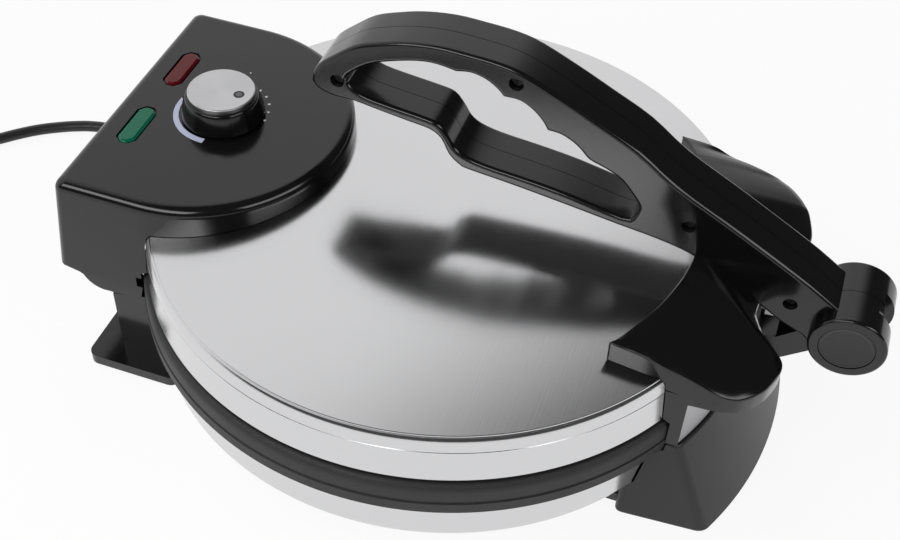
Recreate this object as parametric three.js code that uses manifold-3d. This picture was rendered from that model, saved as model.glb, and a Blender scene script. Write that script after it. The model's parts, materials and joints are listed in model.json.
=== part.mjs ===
// Electric tortilla maker: a hinged press with two heated ten inch plates and a swing-over lever.
// Millimetres, +Z up, front toward -Y. The pieces are placed about the axis of the plates, and the
// whole group is then moved so that its origin lies under the middle of the object.
import * as THREE from "three";
import { mergeVertices } from "three/addons/utils/BufferGeometryUtils.js";
import Module from "manifold-3d";

const wasm = await Module();
wasm.setup();

// Clearances and cuts
const fitGap = 0.3;
const runGap = 0.7;
const overrun = 3;
const bite = 1;
const weld = 0.0001;

// Steel sheet, moulded walls and screws
const sheet = 1.2;
const wall = 3;
const screwRadius = 1.6;
const screwHeadRadius = 3;
const screwHeadHeight = 1.8;

// Heights of the base
const footGap = 1.2;
const footPlate = 5.5;
const shellBottomZ = 17.2;
const shellHeight = 24;
const ringHeight = 17.5;
const skirtGap = 2;

// Cooking plates and heaters
const plateRadius = 127;
const plateThickness = 7;
const plateGap = 2;
const plateStep = 5.5;
const plateLedge = 3;
const heaterInset = 47;
const heaterTube = 3.5;
const shieldMargin = 16;
const shieldDepth = 14;

// Base shell and ring
const shellMargin = 11.5;
const shellTaper = 0.6;
const shellLip = 27;
const shellFlange = 10;
const coverInset = 2.9;
const ringOverhang = 4.4;
const plateRingGap = 2;
const ringRound = 3;

// Domed lid
const shoulderStep = 2.6;
const domeCrownZ = 93;
const domeRise = 8;
const skirtFlare = 1.4;
const bandDrop = 16;
const skirtInset = 2.9;

// Front foot
const frontSlope = 23;
const frontStep = 5.1;
const frontHalf = 79;
const frontTopHalf = 70;
const frontSpread = 2.6;
const frontTuck = 27.9;
const frontTopZ = 45;
const frontWall = 4;

// Rear foot with its hinge posts
const rearHalf = 86.6;
const rearOverhang = 8;
const rearTuck = 32.9;
const rearCorner = 5;
const postOuter = 73;
const postWidth = 13;
const postSetback = 4;
const postDepth = 24.5;
const postTopFront = 44;
const postTopRear = 40.5;
const standoffRadius = 7;
const standoffX = 60;
const standoffInset = 23.9;
const padRadius = 5.8;
const padHeight = 2.6;
const padX = 78;
const padRearInset = 9.5;
const padFrontInset = 30;

// Lid hinge
const hingeOffset = 1.6;
const hingeZ = 52.5;
const hingeBoss = 11.3;
const knuckleRadius = 8;
const knuckleInset = 5.6;
const pinRadius = 3;
const ribWidth = 5;
const ribRadius = 8.5;

// Control housing
const housingTopZ = 102;
const housingFillet = 4;
const housingLean = 2;
const housingWaistDrop = 2.5;
const housingOverhang = 21.6;
const housingRearLean = 6.4;
const housingRearDrop = 1.2;
const housingCorner = 5;
const housingNoseInset = 6;
const housingNoseSetback = 26.5;
const housingNeck = 2;
const housingNeckSetback = 17.5;
const housingCheekSetback = 6.5;
const coverZ = 53;
const coverSheet = 2.5;

// Knob, thermostat and lamps
const knobSetback = 5.2;
const knobRadius = 19.6;
const knobTopRadius = 17.6;
const knobHeight = 14.3;
const knobGap = 1;
const capRadius = 15.8;
const capHeight = 2.2;
const shaftRadius = 3;
const thermostatSize = 28;
const thermostatHeight = 15;
const lensX = 23.4;
const lensSetback = 12.7;
const lensLength = 26;
const lensWidth = 9.5;
const lensRise = 0.8;
const lensDepth = 5;
const lampRadius = 3;
const lampLength = 14;

// Nose over the front of the lid
const noseHalf = 71.5;
const noseBackInset = 22.5;
const noseOverhang = 16.3;
const noseLap = 23.5;
const noseLowZ = 76;
const noseHighZ = 112;
const noseEdge = 9;
const apronStep = 4.1;
const noseStripBackInset = 40;
const noseStripInset = 7;
const noseStripWall = 5;

// Lever, its pivot and its arm
const pivotReach = 24.3;
const pivotZ = 78;
const leverReach = 247;
const leverRise = 105.5;
const leverHalf = 14;
const leverFillet = 3;
const barrelRadius = 16.3;
const barrelHalf = 19;
const eyeInset = 3.3;
const armHalf = 6.5;
const armDepth = 13.4;
const armSlopeDegrees = 42;
const armBendStep = 11;
const armFootZ = 53;
const flangeHalf = 14;
const flangeThickness = 2.2;
const flangeLowZ = 46.5;
const flangeHighZ = 66;
const armScrewX = 10.2;
const leverPin = 4;
const capRim = 3.9;
const endCapDepth = 2.6;
const leverScrewRadius = 2.9;
const leverScrewSink = 1.2;

// Cord, coil and plug
const cordDiameter = 6.2;
const blockX = 44;
const blockWidth = 28;
const blockDepth = 24;
const blockOverhang = 4.5;
const blockHeight = 20;
const reliefX = 50;
const reliefZ = 14.5;
const reliefRadius = 5.5;
const reliefLength = 24;
const reliefShares = [
  [0, 0],
  [0.2, 0],
  [0.26, 1],
  [0.34, 1],
  [0.4, 0],
  [0.48, 0],
  [0.54, 1],
  [0.62, 1],
  [0.68, 0],
  [0.76, 0],
  [0.82, 1],
  [0.9, 1],
  [0.94, 0],
  [1, 0],
];
const plugNeckShare = 0.28;
const tieThickness = 0.6;
const tieWidth = 4;
const tieTurnShare = 0.2;
const coilCentre = [33, 344];
const coilOuter = 39;
const coilInner = 29;
const coilTurns = 3;
const coilTurnSteps = 24;
const coilLeadShares = [-0.68, 0.73];
const coilLayerGap = 0.7;
const plugLength = 34;
const plugWidth = 24;
const plugHeight = 17;
const bladeSpacing = 12.7;
const bladeWidth = 6.3;
const bladeThickness = 1.5;
const bladeLength = 17;

// Smoothness of round shapes
const roundSteps = 40;
const plateSteps = 28;
const smallSteps = 14;
const tinySteps = 8;
const cornerSteps = 3;

// Radii and places that follow from the sizes above
const shellTopRadius = plateRadius + shellMargin;
const shellBottomRadius = shellTopRadius - shellTaper;
const coverRadius = shellBottomRadius - shellLip - coverInset;
const ringRadius = shellTopRadius + ringOverhang;
const ringBore = plateRadius + plateRingGap;
const heaterRadius = plateRadius - heaterInset;
const shieldRadius = heaterRadius + shieldMargin;
const skirtRadius = ringRadius - skirtInset;
const bandRadius = skirtRadius - skirtFlare;
const domeRadius = bandRadius - shoulderStep;
const frontTopReach = ringRadius + frontStep;
const frontReach = frontTopReach + frontSlope;
const frontBack = shellBottomRadius - frontTuck;
const hingeY = ringRadius + hingeOffset;
const rearStart = shellBottomRadius - rearTuck;
const rearReach = hingeY + rearOverhang;
const postRear = hingeY - postSetback;
const postFront = postRear - postDepth;
const postInner = postOuter - postWidth;
const standoffY = shellBottomRadius - standoffInset;
const padRearY = rearReach - padRearInset;
const padFrontY = frontReach - padFrontInset;
const knuckleEnd = postOuter - knuckleInset;
const housingHalf = postOuter;
const housingTopHalf = housingHalf - housingLean;
const housingShoulderZ = housingTopZ - housingFillet;
const housingWaistZ = hingeZ - housingWaistDrop;
const housingRear = hingeY + housingOverhang;
const housingTopRear = housingRear - housingRearLean;
const housingRearZ = hingeZ - housingRearDrop;
const housingNose = housingHalf - housingNoseInset;
const housingNoseY = hingeY - housingNoseSetback;
const housingNeckY = hingeY - housingNeckSetback;
const housingCheekY = hingeY - housingCheekSetback;
const knobY = housingNoseY - knobSetback;
const knobTopZ = housingTopZ + knobHeight;
const lensY = housingTopRear - lensSetback;
const noseArc = skirtRadius - noseLap;
const noseBack = noseArc - noseBackInset;
const apronRadius = ringRadius + apronStep;
const noseFront = apronRadius + noseOverhang;
const noseStripBack = skirtRadius - noseStripBackInset;
const noseStripFront = skirtRadius - noseStripInset;
const pivotY = noseFront + pivotReach;
const armBendY = apronRadius + armBendStep;
const eyeRadius = barrelRadius - eyeInset;
const endCapRadius = barrelRadius - capRim;
const blockRear = hingeY + blockOverhang;
const blockFront = blockRear - blockDepth;

// Heights that follow from the sizes above
const footTopZ = footGap + footPlate;
const shellTopZ = shellBottomZ + shellHeight;
const ringBottomZ = shellTopZ + fitGap;
const ringTopZ = ringBottomZ + ringHeight;
const skirtBottomZ = ringTopZ + skirtGap;
const upperPlateZ = ringTopZ + fitGap;
const lowerPlateTopZ = upperPlateZ - plateGap;
const lowerPlateZ = lowerPlateTopZ - plateThickness;
const upperPlateTopZ = upperPlateZ + plateThickness;
const bandZ = skirtBottomZ + bandDrop;
const shoulderZ = domeCrownZ - domeRise;
const shoulderRadius = (domeRadius + bandRadius) / 2;
const frontLength = pivotY + barrelRadius;
const middleY = (frontLength - housingRear) / 2;
const armSlope = THREE.MathUtils.degToRad(armSlopeDegrees);
const cordRadius = cordDiameter / 2;
const cordLow = cordRadius + fitGap / 3;
const coilLow = cordLow + tieThickness + fitGap;
const reliefEnd = blockRear + reliefLength;

const colours = {
  steel: new THREE.MeshStandardMaterial({ color: 0xb9b6b0, roughness: 0.35, metalness: 0.9 }),
  iron: new THREE.MeshStandardMaterial({ color: 0x3c3b39, roughness: 0.6, metalness: 0.6 }),
  aluminium: new THREE.MeshStandardMaterial({ color: 0x4a4948, roughness: 0.5, metalness: 0.5 }),
  gloss: new THREE.MeshStandardMaterial({ color: 0x0c0c0d, roughness: 0.2, metalness: 0 }),
  matte: new THREE.MeshStandardMaterial({ color: 0x161617, roughness: 0.6, metalness: 0 }),
  rubber: new THREE.MeshStandardMaterial({ color: 0x101010, roughness: 0.85, metalness: 0 }),
  silver: new THREE.MeshStandardMaterial({ color: 0xc2c3c5, roughness: 0.4, metalness: 0.6 }),
  green: new THREE.MeshStandardMaterial({ color: 0x1c5c2a, roughness: 0.25, metalness: 0 }),
  red: new THREE.MeshStandardMaterial({ color: 0x5c1212, roughness: 0.25, metalness: 0 }),
  glass: new THREE.MeshStandardMaterial({ color: 0xd8c8a8, roughness: 0.1, metalness: 0 }),
  brass: new THREE.MeshStandardMaterial({ color: 0xb08d45, roughness: 0.35, metalness: 0.8 }),
};

// A closed geometry as a solid whose faces point outward
function solid(geometry) {
  const bare = new THREE.BufferGeometry();
  const loose = geometry.index ? geometry.toNonIndexed() : geometry;
  bare.setAttribute("position", loose.getAttribute("position"));
  const merged = mergeVertices(bare, weld);
  const corners = Uint32Array.from(merged.index.array);
  const vertices = merged.attributes.position.array;
  const made = new wasm.Manifold(
    new wasm.Mesh({ numProp: 3, vertProperties: vertices, triVerts: corners }),
  );
  if (made.volume() > 0) return made;
  for (let i = 0; i < corners.length; i += 3) {
    [corners[i + 1], corners[i + 2]] = [corners[i + 2], corners[i + 1]];
  }
  return new wasm.Manifold(new wasm.Mesh({ numProp: 3, vertProperties: vertices, triVerts: corners }));
}

// The triangles of a solid as a geometry
function skin(body) {
  const mesh = body.getMesh();
  const geometry = new THREE.BufferGeometry();
  geometry.setAttribute("position", new THREE.BufferAttribute(mesh.vertProperties, 3));
  geometry.setIndex(new THREE.BufferAttribute(mesh.triVerts, 1));
  geometry.computeVertexNormals();
  return geometry;
}

const join = (first, ...others) => others.reduce((body, other) => body.add(other), first);
const cut = (first, ...others) => others.reduce((body, other) => body.subtract(other), first);
const common = (first, ...others) => others.reduce((body, other) => body.intersect(other), first);

// A profile of radius and height turned about the vertical axis
function turned(profile, steps) {
  const closed = [...profile, profile[0]].map(([radius, z]) => new THREE.Vector2(radius, z));
  return solid(new THREE.LatheGeometry(closed, steps).rotateX(Math.PI / 2));
}

// A profile of radius and place across turned about the lever's pivot
function turnedAcross(profile, steps) {
  const closed = [...profile, profile[0]].map(([radius, x]) => new THREE.Vector2(radius, x));
  return solid(new THREE.LatheGeometry(closed, steps).rotateZ(-Math.PI / 2).translate(0, -pivotY, pivotZ));
}

// A plan shape between two heights, with its edges rounded by a bevel if one is given
function slab(shape, lowZ, highZ, bevel = 0, bevelSegments = 2) {
  const geometry = new THREE.ExtrudeGeometry(shape, {
    depth: highZ - lowZ - 2 * bevel,
    bevelEnabled: bevel > 0,
    bevelThickness: bevel,
    bevelSize: bevel,
    bevelOffset: -bevel,
    bevelSegments,
    curveSegments: cornerSteps,
  });
  return geometry.translate(0, 0, lowZ + bevel);
}

const slabSolid = (...values) => solid(slab(...values));

// A side shape of depth and height between two places across
function sideSolid(shape, lowX, highX, bevel = 0, bevelSegments = 2) {
  const turn = new THREE.Matrix4().makeBasis(
    new THREE.Vector3(0, 1, 0),
    new THREE.Vector3(0, 0, 1),
    new THREE.Vector3(1, 0, 0),
  );
  return solid(slab(shape, lowX, highX, bevel, bevelSegments).applyMatrix4(turn));
}

const outline = (points) => new THREE.Shape(points.map(([a, b]) => new THREE.Vector2(a, b)));

function circle(x, y, radius) {
  const angles = Array.from({ length: smallSteps }, (_, i) => (2 * Math.PI * i) / smallSteps);
  return outline(angles.map((angle) => [x + radius * Math.cos(angle), y + radius * Math.sin(angle)]));
}

function roundedRectangle(lowX, highX, lowY, highY, radius) {
  const shape = new THREE.Shape();
  shape.absarc(lowX + radius, lowY + radius, radius, Math.PI, 1.5 * Math.PI);
  shape.absarc(highX - radius, lowY + radius, radius, 1.5 * Math.PI, 2 * Math.PI);
  shape.absarc(highX - radius, highY - radius, radius, 0, 0.5 * Math.PI);
  shape.absarc(lowX + radius, highY - radius, radius, 0.5 * Math.PI, Math.PI);
  shape.closePath();
  return shape;
}

function box(lowX, highX, lowY, highY, lowZ, highZ) {
  const geometry = new THREE.BoxGeometry(highX - lowX, highY - lowY, highZ - lowZ);
  return solid(geometry.translate((lowX + highX) / 2, (lowY + highY) / 2, (lowZ + highZ) / 2));
}

// A round bar from one point to another
function rod(from, to, radius, steps = smallSteps) {
  const start = new THREE.Vector3(...from);
  const along = new THREE.Vector3(...to).sub(start);
  const geometry = new THREE.CylinderGeometry(radius, radius, along.length(), steps);
  const turn = new THREE.Quaternion().setFromUnitVectors(
    new THREE.Vector3(0, 1, 0),
    along.clone().normalize(),
  );
  const middle = start.addScaledVector(along, 0.5);
  return solid(geometry.applyQuaternion(turn).translate(middle.x, middle.y, middle.z));
}

// A solid through rings of equal counts, the lowest first, closed by a flat cap at each end
function loft(rings) {
  const count = rings[0].length;
  const corners = [];
  const cap = THREE.ShapeUtils.triangulateShape(
    rings[0].map(([x, y]) => new THREE.Vector2(x, y)),
    [],
  );
  const top = (rings.length - 1) * count;
  for (const [a, b, c] of cap) corners.push(c, b, a, top + a, top + b, top + c);
  for (let level = 0; level < rings.length - 1; level += 1) {
    for (let i = 0; i < count; i += 1) {
      const next = (i + 1) % count;
      const low = level * count;
      const high = low + count;
      corners.push(low + i, low + next, high + next, low + i, high + next, high + i);
    }
  }
  const geometry = new THREE.BufferGeometry();
  geometry.setAttribute("position", new THREE.Float32BufferAttribute(rings.flat(2), 3));
  geometry.setIndex(corners);
  return solid(geometry);
}

// A block over a rectangle whose top follows a height function
function underSurface(lowX, highX, lowY, highY, lowZ, heightAt, stepsX, stepsY) {
  const points = [];
  const corners = [];
  const place = (layer, i, j) => (layer * (stepsX + 1) + i) * (stepsY + 1) + j;
  for (const layer of [0, 1]) {
    for (let i = 0; i <= stepsX; i += 1) {
      for (let j = 0; j <= stepsY; j += 1) {
        const x = THREE.MathUtils.lerp(lowX, highX, i / stepsX);
        const y = THREE.MathUtils.lerp(lowY, highY, j / stepsY);
        points.push(x, y, layer ? heightAt(x, y) : lowZ);
      }
    }
  }
  const quad = (a, b, c, d) => corners.push(a, b, c, a, c, d);
  for (let i = 0; i < stepsX; i += 1) {
    for (let j = 0; j < stepsY; j += 1) {
      quad(place(1, i, j), place(1, i + 1, j), place(1, i + 1, j + 1), place(1, i, j + 1));
      quad(place(0, i, j), place(0, i, j + 1), place(0, i + 1, j + 1), place(0, i + 1, j));
    }
    quad(place(0, i, 0), place(0, i + 1, 0), place(1, i + 1, 0), place(1, i, 0));
    quad(place(0, i + 1, stepsY), place(0, i, stepsY), place(1, i, stepsY), place(1, i + 1, stepsY));
  }
  for (let j = 0; j < stepsY; j += 1) {
    quad(place(0, 0, j + 1), place(0, 0, j), place(1, 0, j), place(1, 0, j + 1));
    quad(place(0, stepsX, j), place(0, stepsX, j + 1), place(1, stepsX, j + 1), place(1, stepsX, j));
  }
  const geometry = new THREE.BufferGeometry();
  geometry.setAttribute("position", new THREE.Float32BufferAttribute(points, 3));
  geometry.setIndex(corners);
  return solid(geometry);
}

const assembly = new THREE.Group();
assembly.position.set(0, middleY, 0);

function piece(name, body, material) {
  const mesh = new THREE.Mesh(skin(body), material);
  mesh.name = name;
  assembly.add(mesh);
}

const sides = [
  ["left", -1],
  ["right", 1],
];

// Height of the dome's outer face at a distance from its middle
const domeZ = (radius) => domeCrownZ - domeRise * (radius / domeRadius) ** 2;

// Radius of the base's ring and shell, grown by a gap, down to the underside of the shell
function baseClearance(gap) {
  return turned(
    [
      [0, shellBottomZ - gap],
      [shellTopRadius + gap, shellBottomZ - gap],
      [shellTopRadius + gap, ringBottomZ - gap],
      [ringRadius + gap, ringBottomZ - gap],
      [ringRadius + gap, ringTopZ + gap],
      [0, ringTopZ + gap],
    ],
    roundSteps,
  );
}

const domeShares = [0, 0.2, 0.4, 0.6, 0.8, 0.92, 1];
const domeProfile = (gap) => domeShares.map((share) => [domeRadius * share, domeZ(domeRadius * share) + gap]);

// The dome, its skirt and the ring below them, grown by a gap, for what the lid carries outside
function lidClearance(gap) {
  return turned(
    [
      [0, ringBottomZ - overrun],
      [ringRadius + gap, ringBottomZ - overrun],
      [ringRadius + gap, ringTopZ + gap],
      [skirtRadius + gap, skirtBottomZ + gap],
      [bandRadius + gap, bandZ],
      [shoulderRadius + gap, shoulderZ - sheet * 2],
      ...domeProfile(gap).reverse().map(([radius, z]) => [radius ? radius + gap : 0, z]),
    ],
    roundSteps,
  );
}

// Stainless pan of the base: a flange under the ring, the wall and a lip for the bottom cover
function makeBaseShell() {
  const flangeRadius = shellTopRadius - shellFlange;
  const lipRadius = shellBottomRadius - shellLip;
  const bend = sheet * 2;
  const pan = turned(
    [
      [lipRadius, shellBottomZ],
      [shellBottomRadius - bend, shellBottomZ],
      [shellBottomRadius, shellBottomZ + bend],
      [shellTopRadius, shellTopZ],
      [flangeRadius, shellTopZ],
      [flangeRadius, shellTopZ - sheet],
      [shellTopRadius - sheet, shellTopZ - sheet],
      [shellBottomRadius - sheet, shellBottomZ + bend],
      [shellBottomRadius - bend, shellBottomZ + sheet],
      [lipRadius, shellBottomZ + sheet],
    ],
    roundSteps,
  );
  const holes = [...footScrewPlaces, ...coverScrewPlaces].map(([x, y]) => screwHole(x, y));
  piece("base_shell", cut(pan, ...holes), colours.steel);
}

const footScrewPlaces = [-1, 1].flatMap((front) => [
  [-standoffX, front * standoffY],
  [standoffX, front * standoffY],
]);
const coverEdge = coverRadius + (shellBottomRadius - shellLip - coverRadius) / 2;
const coverScrewRadius = shellBottomRadius - shellLip + screwHeadRadius * 2;
const coverScrewPlaces = [-1, 1].map((side) => [side * coverScrewRadius, 0]);
const screwHole = (x, y) =>
  rod(
    [x, y, shellBottomZ - overrun],
    [x, y, shellBottomZ + sheet + overrun],
    screwRadius + fitGap,
    tinySteps,
  );

// Flat cover under the pan, lapped below the pan's lip, with its two screws
function makeBottomCover() {
  const topZ = shellBottomZ - fitGap;
  const lowZ = topZ - sheet;
  const edge = coverEdge + screwHeadRadius * 4;
  const disc = turned([[0, lowZ], [edge, lowZ], [edge, topZ], [0, topZ]], plateSteps);
  piece("bottom_cover", cut(disc, ...coverScrewPlaces.map(([x, y]) => screwHole(x, y))), colours.steel);
  coverScrewPlaces.forEach(([x, y], index) => {
    const headTop = lowZ - fitGap;
    const head = rod([x, y, headTop - screwHeadHeight], [x, y, headTop], screwHeadRadius, tinySteps);
    const shank = rod([x, y, headTop - bite], [x, y, shellBottomZ + sheet * 4], screwRadius, tinySteps);
    piece(`cover_screw_${index + 1}`, join(head, shank), colours.iron);
  });
}

// Black ring that carries the lower plate on a ledge and stands on the pan's flange
function makeBaseRing() {
  const ledgeRadius = ringBore - plateStep;
  const ledgeZ = lowerPlateTopZ - plateLedge - fitGap;
  const groove = ringRound / 4;
  const grooveZ = ringBottomZ + ringHeight * 0.4;
  const ring = turned(
    [
      [ledgeRadius, ledgeZ - plateLedge],
      [ringBore, ledgeZ - plateLedge],
      [ringBore, ringBottomZ],
      [ringRadius, ringBottomZ],
      [ringRadius, grooveZ - groove],
      [ringRadius - groove, grooveZ],
      [ringRadius - fitGap, grooveZ + groove],
      [ringRadius - fitGap * 2, ringTopZ - ringRound],
      [ringRadius - ringRound / 2, ringTopZ - ringRound / 3],
      [ringRadius - ringRound, ringTopZ],
      [ringBore, ringTopZ],
      [ringBore, ledgeZ],
      [ledgeRadius, ledgeZ],
    ],
    roundSteps,
  );
  piece("base_ring", ring, colours.matte);
}

// A cast cooking plate between two heights, wider by a rim on the side away from the dough
function makeHeatedPlates() {
  const lowStep = lowerPlateTopZ - plateLedge;
  const lowerRadius = plateRadius - plateStep;
  const lower = turned(
    [
      [0, lowerPlateZ],
      [lowerRadius, lowerPlateZ],
      [lowerRadius, lowStep],
      [plateRadius, lowStep],
      [plateRadius, lowerPlateTopZ],
      [0, lowerPlateTopZ],
    ],
    plateSteps,
  );
  piece("lower_plate", lower, colours.aluminium);
  const rimRadius = skirtRadius - sheet - fitGap * 2;
  const rimZ = upperPlateTopZ - plateLedge;
  const upper = turned(
    [
      [0, upperPlateZ],
      [plateRadius, upperPlateZ],
      [plateRadius, rimZ],
      [rimRadius, rimZ],
      [rimRadius - fitGap, upperPlateTopZ],
      [0, upperPlateTopZ],
    ],
    roundSteps,
  );
  piece("upper_plate", upper, colours.aluminium);
}

// A ring heater and the steel dish that shields it, on the far side of a plate
function makeHeater(name, plateZ, away) {
  const middleZ = plateZ + away * (heaterTube + fitGap);
  const torus = new THREE.TorusGeometry(heaterRadius, heaterTube, tinySteps, plateSteps);
  piece(`${name}_heater`, solid(torus.translate(0, 0, middleZ)), colours.iron);
  const near = plateZ + away * fitGap;
  const far = plateZ + away * shieldDepth;
  const dish = turned(
    [
      [0, far],
      [shieldRadius - shieldDepth / 2, far],
      [shieldRadius, near],
      [shieldRadius - sheet * 2, near],
      [shieldRadius - shieldDepth / 2 - sheet, far - away * sheet],
      [0, far - away * sheet],
    ],
    plateSteps,
  );
  piece(`${name}_heat_shield`, dish, colours.steel);
}

// Corner points of the front foot at one height, drawn in by a wall if one is given
function frontFootRing(z, inset) {
  const share = z / frontTopZ;
  const half = THREE.MathUtils.lerp(frontHalf, frontTopHalf, share) - inset;
  const reach = THREE.MathUtils.lerp(frontReach, frontTopReach, share) - inset;
  const backHalf = half + frontSpread * (1 - share);
  const span = Math.asin(half / reach);
  const points = [];
  for (let i = 0; i <= smallSteps; i += 1) {
    const angle = THREE.MathUtils.lerp(-span, span, i / smallSteps);
    points.push([reach * Math.sin(angle), -reach * Math.cos(angle), z]);
  }
  points.push([backHalf, -frontBack, z], [-backHalf, -frontBack, z]);
  return points;
}

// A standoff from a foot's plate up to the pan
function standoff(x, y) {
  return rod([x, y, footGap + bite], [x, y, shellBottomZ - fitGap], standoffRadius, smallSteps);
}

// The stepped hole of a foot screw, open below
function footScrewHole(x, y) {
  const seatZ = footGap + footPlate / 2;
  return join(
    rod([x, y, footGap - overrun], [x, y, seatZ], screwHeadRadius + fitGap, tinySteps),
    rod([x, y, seatZ - bite], [x, y, shellBottomZ + overrun], screwRadius + fitGap, tinySteps),
  );
}

const padHole = (x, y) =>
  rod([x, y, -overrun], [x, y, padHeight + fitGap], padRadius + fitGap, smallSteps);

// Hollow sloping front foot, with a floor that runs back under the pan to its two standoffs
function makeFrontFoot() {
  const outer = loft([frontFootRing(footGap, 0), frontFootRing(frontTopZ, 0)]);
  const inner = loft([frontFootRing(footTopZ, frontWall), frontFootRing(ringBottomZ - frontWall, frontWall)]);
  const floorHalf = frontHalf - frontWall;
  const floor = box(-floorHalf, floorHalf, -frontReach * Math.cos(Math.asin(frontHalf / frontReach)),
    -rearStart, footGap, footTopZ);
  const base = baseClearance(fitGap * 2);
  const left = standoff(-standoffX, -standoffY);
  const right = standoff(standoffX, -standoffY);
  const shape = join(cut(outer, inner, base), floor, left, right);
  const holes = [-1, 1].flatMap((side) => [
    footScrewHole(side * standoffX, -standoffY),
    padHole(side * padX * frontPadShare, -padFrontY),
  ]);
  piece("front_foot", cut(shape, ...holes), colours.gloss);
}

const frontPadShare = 0.88;

// Rear foot: a plate, two standoffs and two posts with the hinge knuckles on top
function makeRearFoot() {
  const plate = slabSolid(
    roundedRectangle(-rearHalf, rearHalf, rearStart, rearReach, rearCorner),
    footGap,
    footTopZ,
  );
  const post = outline([
    [postFront, footTopZ - bite],
    [postRear, footTopZ - bite],
    [postRear, postTopRear],
    [postFront, postTopFront + (postTopFront - postTopRear) * 0.5],
  ]);
  const neck = outline([
    [hingeY - knuckleRadius * 2, postTopRear - bite],
    [postRear, postTopRear - bite],
    [hingeY + knuckleRadius * 0.7, hingeZ - knuckleRadius * 0.7],
    [hingeY - knuckleRadius * 0.7, hingeZ + knuckleRadius * 0.7],
  ]);
  const base = baseClearance(fitGap * 2);
  let foot = join(plate, standoff(-standoffX, standoffY), standoff(standoffX, standoffY));
  for (const [, side] of sides) {
    const spanOf = (from, to) => (side < 0 ? [-to, -from] : [from, to]);
    foot = join(
      foot,
      cut(sideSolid(post, ...spanOf(postInner, postOuter)), base),
      cut(sideSolid(neck, ...spanOf(postInner, knuckleEnd)), base),
      sideSolid(circle(hingeY, hingeZ, knuckleRadius), ...spanOf(postInner, knuckleEnd)),
    );
  }
  const bore = rod([-rearHalf, hingeY, hingeZ], [rearHalf, hingeY, hingeZ], pinRadius + fitGap, smallSteps);
  const holes = [-1, 1].flatMap((side) => [
    footScrewHole(side * standoffX, standoffY),
    padHole(side * padX, padRearY),
  ]);
  piece("rear_foot", cut(foot, bore, ...holes), colours.gloss);
}

function makeFootHardware() {
  footScrewPlaces.forEach(([x, y], index) => {
    const headTop = footGap + footPlate / 2 - fitGap;
    const head = rod([x, y, headTop - screwHeadHeight], [x, y, headTop], screwHeadRadius, tinySteps);
    const shank = rod([x, y, headTop - bite], [x, y, shellBottomZ + sheet * 3], screwRadius, tinySteps);
    piece(`foot_screw_${index + 1}`, join(head, shank), colours.iron);
  });
  for (const [name, side] of sides) {
    const frontX = side * padX * frontPadShare;
    const rearPad = rod([side * padX, padRearY, 0], [side * padX, padRearY, padHeight], padRadius);
    piece(`rear_pad_${name}`, rearPad, colours.rubber);
    const frontPad = rod([frontX, -padFrontY, 0], [frontX, -padFrontY, padHeight], padRadius);
    piece(`front_pad_${name}`, frontPad, colours.rubber);
    const pinEnd = side * (postOuter - wall / 2 - fitGap);
    const pinStart = side * (postInner - fitGap - ribWidth);
    const pin = rod([pinStart, hingeY, hingeZ], [pinEnd, hingeY, hingeZ], pinRadius);
    piece(`hinge_pin_${name}`, pin, colours.steel);
  }
}

// Domed lid of thin steel, with its bright step band and skirt
function makeLidShell() {
  const outer = domeProfile(0);
  const inner = domeProfile(-sheet).map(([radius, z]) => [radius ? radius - sheet * 0.6 : 0, z]);
  const shell = turned(
    [
      ...outer,
      [shoulderRadius, shoulderZ - sheet * 2],
      [bandRadius, bandZ],
      [skirtRadius, skirtBottomZ],
      [skirtRadius - sheet, skirtBottomZ],
      [bandRadius - sheet, bandZ],
      [shoulderRadius - sheet, shoulderZ - sheet * 2.6],
      ...inner.reverse(),
    ],
    roundSteps,
  );
  const upward = (x, y, radius) => rod([x, y, bandZ], [x, y, domeCrownZ + overrun], radius, tinySteps);
  const holes = [
    upward(0, knobY, shaftRadius + runGap),
    ...housingScrewPlaces.map(([x, y]) => upward(x, y, screwRadius + fitGap)),
    ...noseScrewPlaces.map(([x, y]) => upward(x, y, screwRadius + fitGap)),
  ];
  piece("lid_shell", cut(shell, ...holes), colours.steel);
}

const housingScrewPlaces = [-1, 1].map((side) => [side * housingNose * 0.7, housingNoseY - wall * 4]);
const noseScrewPlaces = [-1, 1].map((side) => [side * noseHalf * 0.7, -noseArc * 1.02]);

// Half width and rear face of the control housing at a height
function housingHalfAt(z) {
  const share = THREE.MathUtils.clamp((z - housingWaistZ) / (housingShoulderZ - housingWaistZ), 0, 1);
  return THREE.MathUtils.lerp(housingHalf, housingTopHalf, share);
}

function housingRearAt(z) {
  const share = (z - housingRearZ) / (housingShoulderZ - housingRearZ);
  return THREE.MathUtils.lerp(housingRear, housingTopRear, Math.min(share, 1));
}

// Plan of the housing at a height, drawn in by an inset: a D with its round end to the front
function housingRing(z, inset) {
  const half = housingHalfAt(z) - inset;
  const rear = housingRearAt(z) - inset;
  const corner = Math.max(housingCorner - inset, bite);
  const nose = housingNose - inset;
  const points = [];
  for (let i = 0; i <= smallSteps; i += 1) {
    const angle = Math.PI * (1 + i / smallSteps);
    points.push([nose * Math.cos(angle), housingNoseY + nose * Math.sin(angle), z]);
  }
  const turn = (centreX, centreY, start) => {
    for (let i = 0; i <= cornerSteps; i += 1) {
      const angle = start + (Math.PI / 2) * (i / cornerSteps);
      points.push([centreX + corner * Math.cos(angle), centreY + corner * Math.sin(angle), z]);
    }
  };
  points.push([half - housingNeck, housingNeckY, z], [half, housingCheekY, z]);
  turn(half - corner, rear - corner, 0);
  turn(corner - half, rear - corner, Math.PI / 2);
  points.push([-half, housingCheekY, z], [housingNeck - half, housingNeckY, z]);
  return points;
}

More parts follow.
